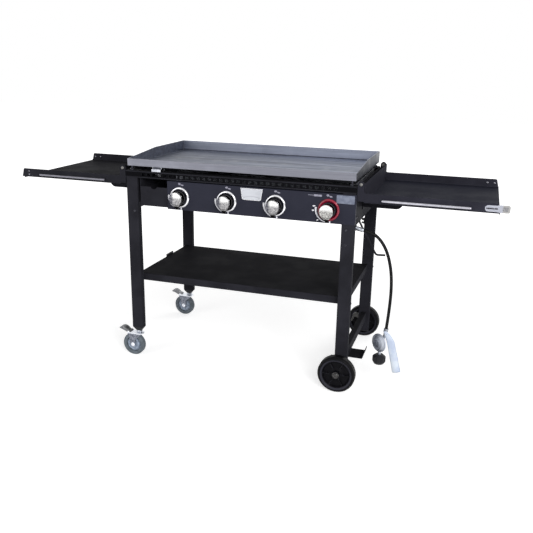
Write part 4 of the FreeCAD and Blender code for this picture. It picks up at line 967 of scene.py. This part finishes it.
def on_aimed_points(tree, start, shape):
    """The shape on every point, turned to the point's aim and as large as its size says."""
    aim = add(tree, "GeometryNodeInputNamedAttribute", {"Name": "aim"}, data_type="FLOAT_VECTOR")
    size = add(tree, "GeometryNodeInputNamedAttribute", {"Name": "size"})
    turn = add(tree, "FunctionNodeAlignRotationToVector", {"Vector": (aim, "Attribute")}, axis="Z")
    return add(tree, "GeometryNodeInstanceOnPoints", {
        "Points": (start, "Geometry"), "Instance": shape, "Rotation": (turn, "Rotation"),
        "Scale": (size, "Attribute")}), "Instances"


def grow(name, mesh, tree, finish, body, sizes=None):
    """Runs a tree on a mesh and keeps the result as a plain mesh that rides on a body."""
    values = {"Finish": finishes[finish], **(sizes or {})}
    seed = put_in_scene(name + "_seed", mesh)
    maker = seed.modifiers.new("maker", "NODES")
    maker.node_group = tree
    for socket in tree.interface.items_tree:
        if socket.in_out == "INPUT" and socket.name in values:
            maker[socket.identifier] = values[socket.name]
    ready = seed.evaluated_get(bpy.context.evaluated_depsgraph_get())
    piece = put_in_scene(name, bpy.data.meshes.new_from_object(ready))
    seed.modifiers.remove(maker)
    bpy.data.objects.remove(seed)
    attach(piece, body)
    print(name, len(piece.data.polygons), "faces")


def points_with_aim(name, rows):
    """Loose points, each with an aim that says which way its shape faces, and a size."""
    mesh = bpy.data.meshes.new(name)
    mesh.from_pydata([place for place, aim, size in rows], [], [])
    mesh.attributes.new("aim", "FLOAT_VECTOR", "POINT")
    mesh.attributes.new("size", "FLOAT", "POINT")
    for index, (place, aim, size) in enumerate(rows):
        mesh.attributes["aim"].data[index].vector = aim
        mesh.attributes["size"].data[index].value = size
    return mesh


# %% Tree: weld beads along a line
weld_tree, start, end = new_tree("weld_beads", {"Pitch": 0.004, "Bead Radius": 0.0016, "Seed": 3})
to_line = add(weld_tree, "GeometryNodeMeshToCurve", {"Mesh": (start, "Geometry")})
spaced = add(
    weld_tree, "GeometryNodeCurveToPoints", {"Curve": (to_line, "Curve"), "Length": (start, "Pitch")}, mode="LENGTH")
bead = add(weld_tree, "GeometryNodeMeshIcoSphere", {"Radius": (start, "Bead Radius"), "Subdivisions": 2})
uneven = add(
    weld_tree, "FunctionNodeRandomValue", {0: (0.85, 0.85, 0.85), 1: (1.15, 1.15, 1.5), "Seed": (start, "Seed")},
    data_type="FLOAT_VECTOR")
beads = add(weld_tree, "GeometryNodeInstanceOnPoints", {
    "Points": (spaced, "Points"), "Instance": (bead, "Mesh"), "Rotation": (spaced, "Rotation"),
    "Scale": (uneven, "Value")})
smooth = add(weld_tree, "GeometryNodeSetShadeSmooth", {"Geometry": (beads, "Instances")})
end_tree(weld_tree, start, end, (smooth, "Geometry"))

# %% Weld the griddle's corners
WALL_INNER_X = (-0.482, 0.450)
WALL_INNER_Y = 0.266
SEAM_Z = 0.8412
WALL_TOPS = {-1: 0.862, 1: 0.8805}
seam_points = [
    (x, side * WALL_INNER_Y, z) for x in WALL_INNER_X for side in (-1, 1) for z in (SEAM_Z, WALL_TOPS[side])]
seam = bpy.data.meshes.new("weld_lines")
seam.from_pydata(seam_points, [(first, first + 1) for first in range(0, len(seam_points), 2)], [])
coated(
    "weld", (84, 86, 96), (128, 126, 128), (168, 168, 172), (0.34, 0.55), metal=1.0, cloud=150.0, grain=2200.0,
    depth=0.00004)
grow("corner_welds", seam, weld_tree, "weld", "griddle", {"Pitch": 0.0026, "Bead Radius": 0.0015})

# %% Tree: a thin cross on every screw head, for its recess
cross_tree, start, end = new_tree("cross_recess", {"Arm Length": 0.0056, "Arm Width": 0.0012, "Lift": 0.0002})
cross = add(cross_tree, "GeometryNodeJoinGeometry")
for along, across in (("Arm Length", "Arm Width"), ("Arm Width", "Arm Length")):
    arm_size = add(cross_tree, "CombineXYZ", {"X": (start, along), "Y": (start, across), "Z": (start, "Lift")})
    arm = add(cross_tree, "GeometryNodeMeshCube", {"Size": (arm_size, "Vector")})
    join((arm, "Mesh"), cross.inputs["Geometry"])
end_tree(cross_tree, start, end, on_aimed_points(cross_tree, start, (cross, "Geometry")))

# %% Paint the recesses' shade
# Flat dark crosses on the screw heads: the painted shade of their recesses.
coated("recess", (10, 10, 11), (24, 24, 26), (70, 70, 74), (0.5, 0.7), 0.1, cloud=300.0, grain=2400.0)
FORWARD, BACKWARD = (0, -1, 0), (0, 1, 0)
FULL, SMALL = 1.0, 0.72
CART_MIDDLE_X = -0.016
SIDE_HEADS = ((0.4790, 0.264, 0.700), (0.4815, 0.243, 0.797), (0.4770, 0.264, 0.358))
frame_heads = [
    ((-0.458, -0.2820, 0.651), FORWARD, FULL), ((0.426, -0.2820, 0.592), FORWARD, FULL),
    ((-0.458, 0.2820, 0.651), BACKWARD, FULL), ((0.426, 0.2820, 0.651), BACKWARD, FULL)]
for side in (-1, 1):
    for side_y in (-1, 1):
        for reach, y, z in SIDE_HEADS:
            frame_heads.append(((side * reach + CART_MIDDLE_X, side_y * y, z), (side, 0, 0), FULL))
LEFT_HEADS = ((-0.959, -0.2795, 0.783), (-0.959, -0.2795, 0.769), (-0.947, 0.2730, 0.777), (-0.976, 0.2730, 0.777))
RIGHT_HEADS = ((0.915, 0.2730, 0.777), (0.944, 0.2730, 0.777), (0.922, -0.2820, 0.776), (0.938, -0.2820, 0.776))
left_heads, right_heads = (
    [(head, FORWARD, SMALL) for head in heads] for heads in (LEFT_HEADS, RIGHT_HEADS))
for body, rows in (("frame", frame_heads), ("left_shelf", left_heads), ("right_shelf", right_heads)):
    heads = points_with_aim(body + "_heads", rows)
    grow(body + "_recesses", heads, cross_tree, "recess", body)

# %% Tree: flat discs for ports, rings and dimples
disc_tree, start, end = new_tree("small_discs", {"Radius": 0.0012, "Depth": 0.0004, "Sides": 8})
disc = add(disc_tree, "GeometryNodeMeshCylinder", {
    "Vertices": (start, "Sides"), "Radius": (start, "Radius"), "Depth": (start, "Depth")})
end_tree(disc_tree, start, end, on_aimed_points(disc_tree, start, (disc, "Mesh")))

# %% Burner ports
TUBE_RADIUS = 0.016
PORT_LEAN = math.radians(38)
PORT_COUNT = 27
PORT_FIRST_Y = -0.160
PORT_PITCH = 0.012
ports = []
for x in KNOB_X:
    for side in (-1, 1):
        aim_x, aim_z = side * math.sin(PORT_LEAN), math.cos(PORT_LEAN)
        for step in range(PORT_COUNT):
            ports.append((
                (x + TUBE_RADIUS * aim_x, PORT_FIRST_Y + PORT_PITCH * step, KNOB_Z + TUBE_RADIUS * aim_z),
                (aim_x, 0, aim_z), 1.0))
# The ports are flat dark discs: the painted shade of their holes.
grow("burner_ports", points_with_aim("port_points", ports), disc_tree, "recess", "frame")

# %% Crimp rings on the hose's sleeve
SLEEVE_END = Vector(HOSE_CORNERS[0])
SLEEVE_WAY = Vector((0.971, 0.0, -0.239))
RINGS_BACK = (0.005, 0.011, 0.017, 0.023, 0.029)
rings = [(SLEEVE_END - SLEEVE_WAY * back, SLEEVE_WAY, 1.0) for back in RINGS_BACK]
grow(
    "crimp_rings", points_with_aim("ring_points", rings), disc_tree, "zinc", "frame",
    {"Radius": 0.0086, "Depth": 0.0022, "Sides": 24})

# %% The regulator's dimples
REGULATOR_MIDDLE = Vector((0.574, HOSE_Y, 0.199))
REGULATOR_FACE = Vector((-0.615, -0.788, 0.0))
# Of each ring: reach from the middle, height over it, outward lean, dimples.
DIMPLE_RINGS = ((0.0350, 0.0040, 0.45, 30), (0.0300, 0.0076, 0.65, 24), (0.0200, 0.0132, 0.34, 14))
upright = Vector((0, 0, 1))
face_side = REGULATOR_FACE.cross(upright)
dimples = []
for reach, height, lean, count in DIMPLE_RINGS:
    for step in range(count):
        turn = 2 * math.pi * step / count
        spoke = face_side * math.cos(turn) + upright * math.sin(turn)
        middle = REGULATOR_MIDDLE + spoke * reach + REGULATOR_FACE * height
        dimples.append((middle, spoke * lean + REGULATOR_FACE, 1.0))
grow(
    "regulator_dimples", points_with_aim("dimple_points", dimples), disc_tree, "regulator_alloy", "frame",
    {"Radius": 0.0014, "Depth": 0.0008})

# %% [markdown]
# ## The opener's lip
#
# The bottle opener's mouth ends in a thin pressed lip. It could be cut from the solid by a boolean, but a
# small plate that lies in the mouth shows the same edge.

# %% Press the lip
LIP = ((0.9680, 0.7690), (0.9868, 0.7682), (0.9868, 0.7838), (0.9680, 0.7830), (0.9665, OPENER_MID_Z))
LIP_DEPTHS = (-0.2796, -0.2776)
build = bmesh.new()
add_plate(build, LIP, *LIP_DEPTHS)
add_piece(build, "opener_lip", "pressed_lip", "right_shelf")
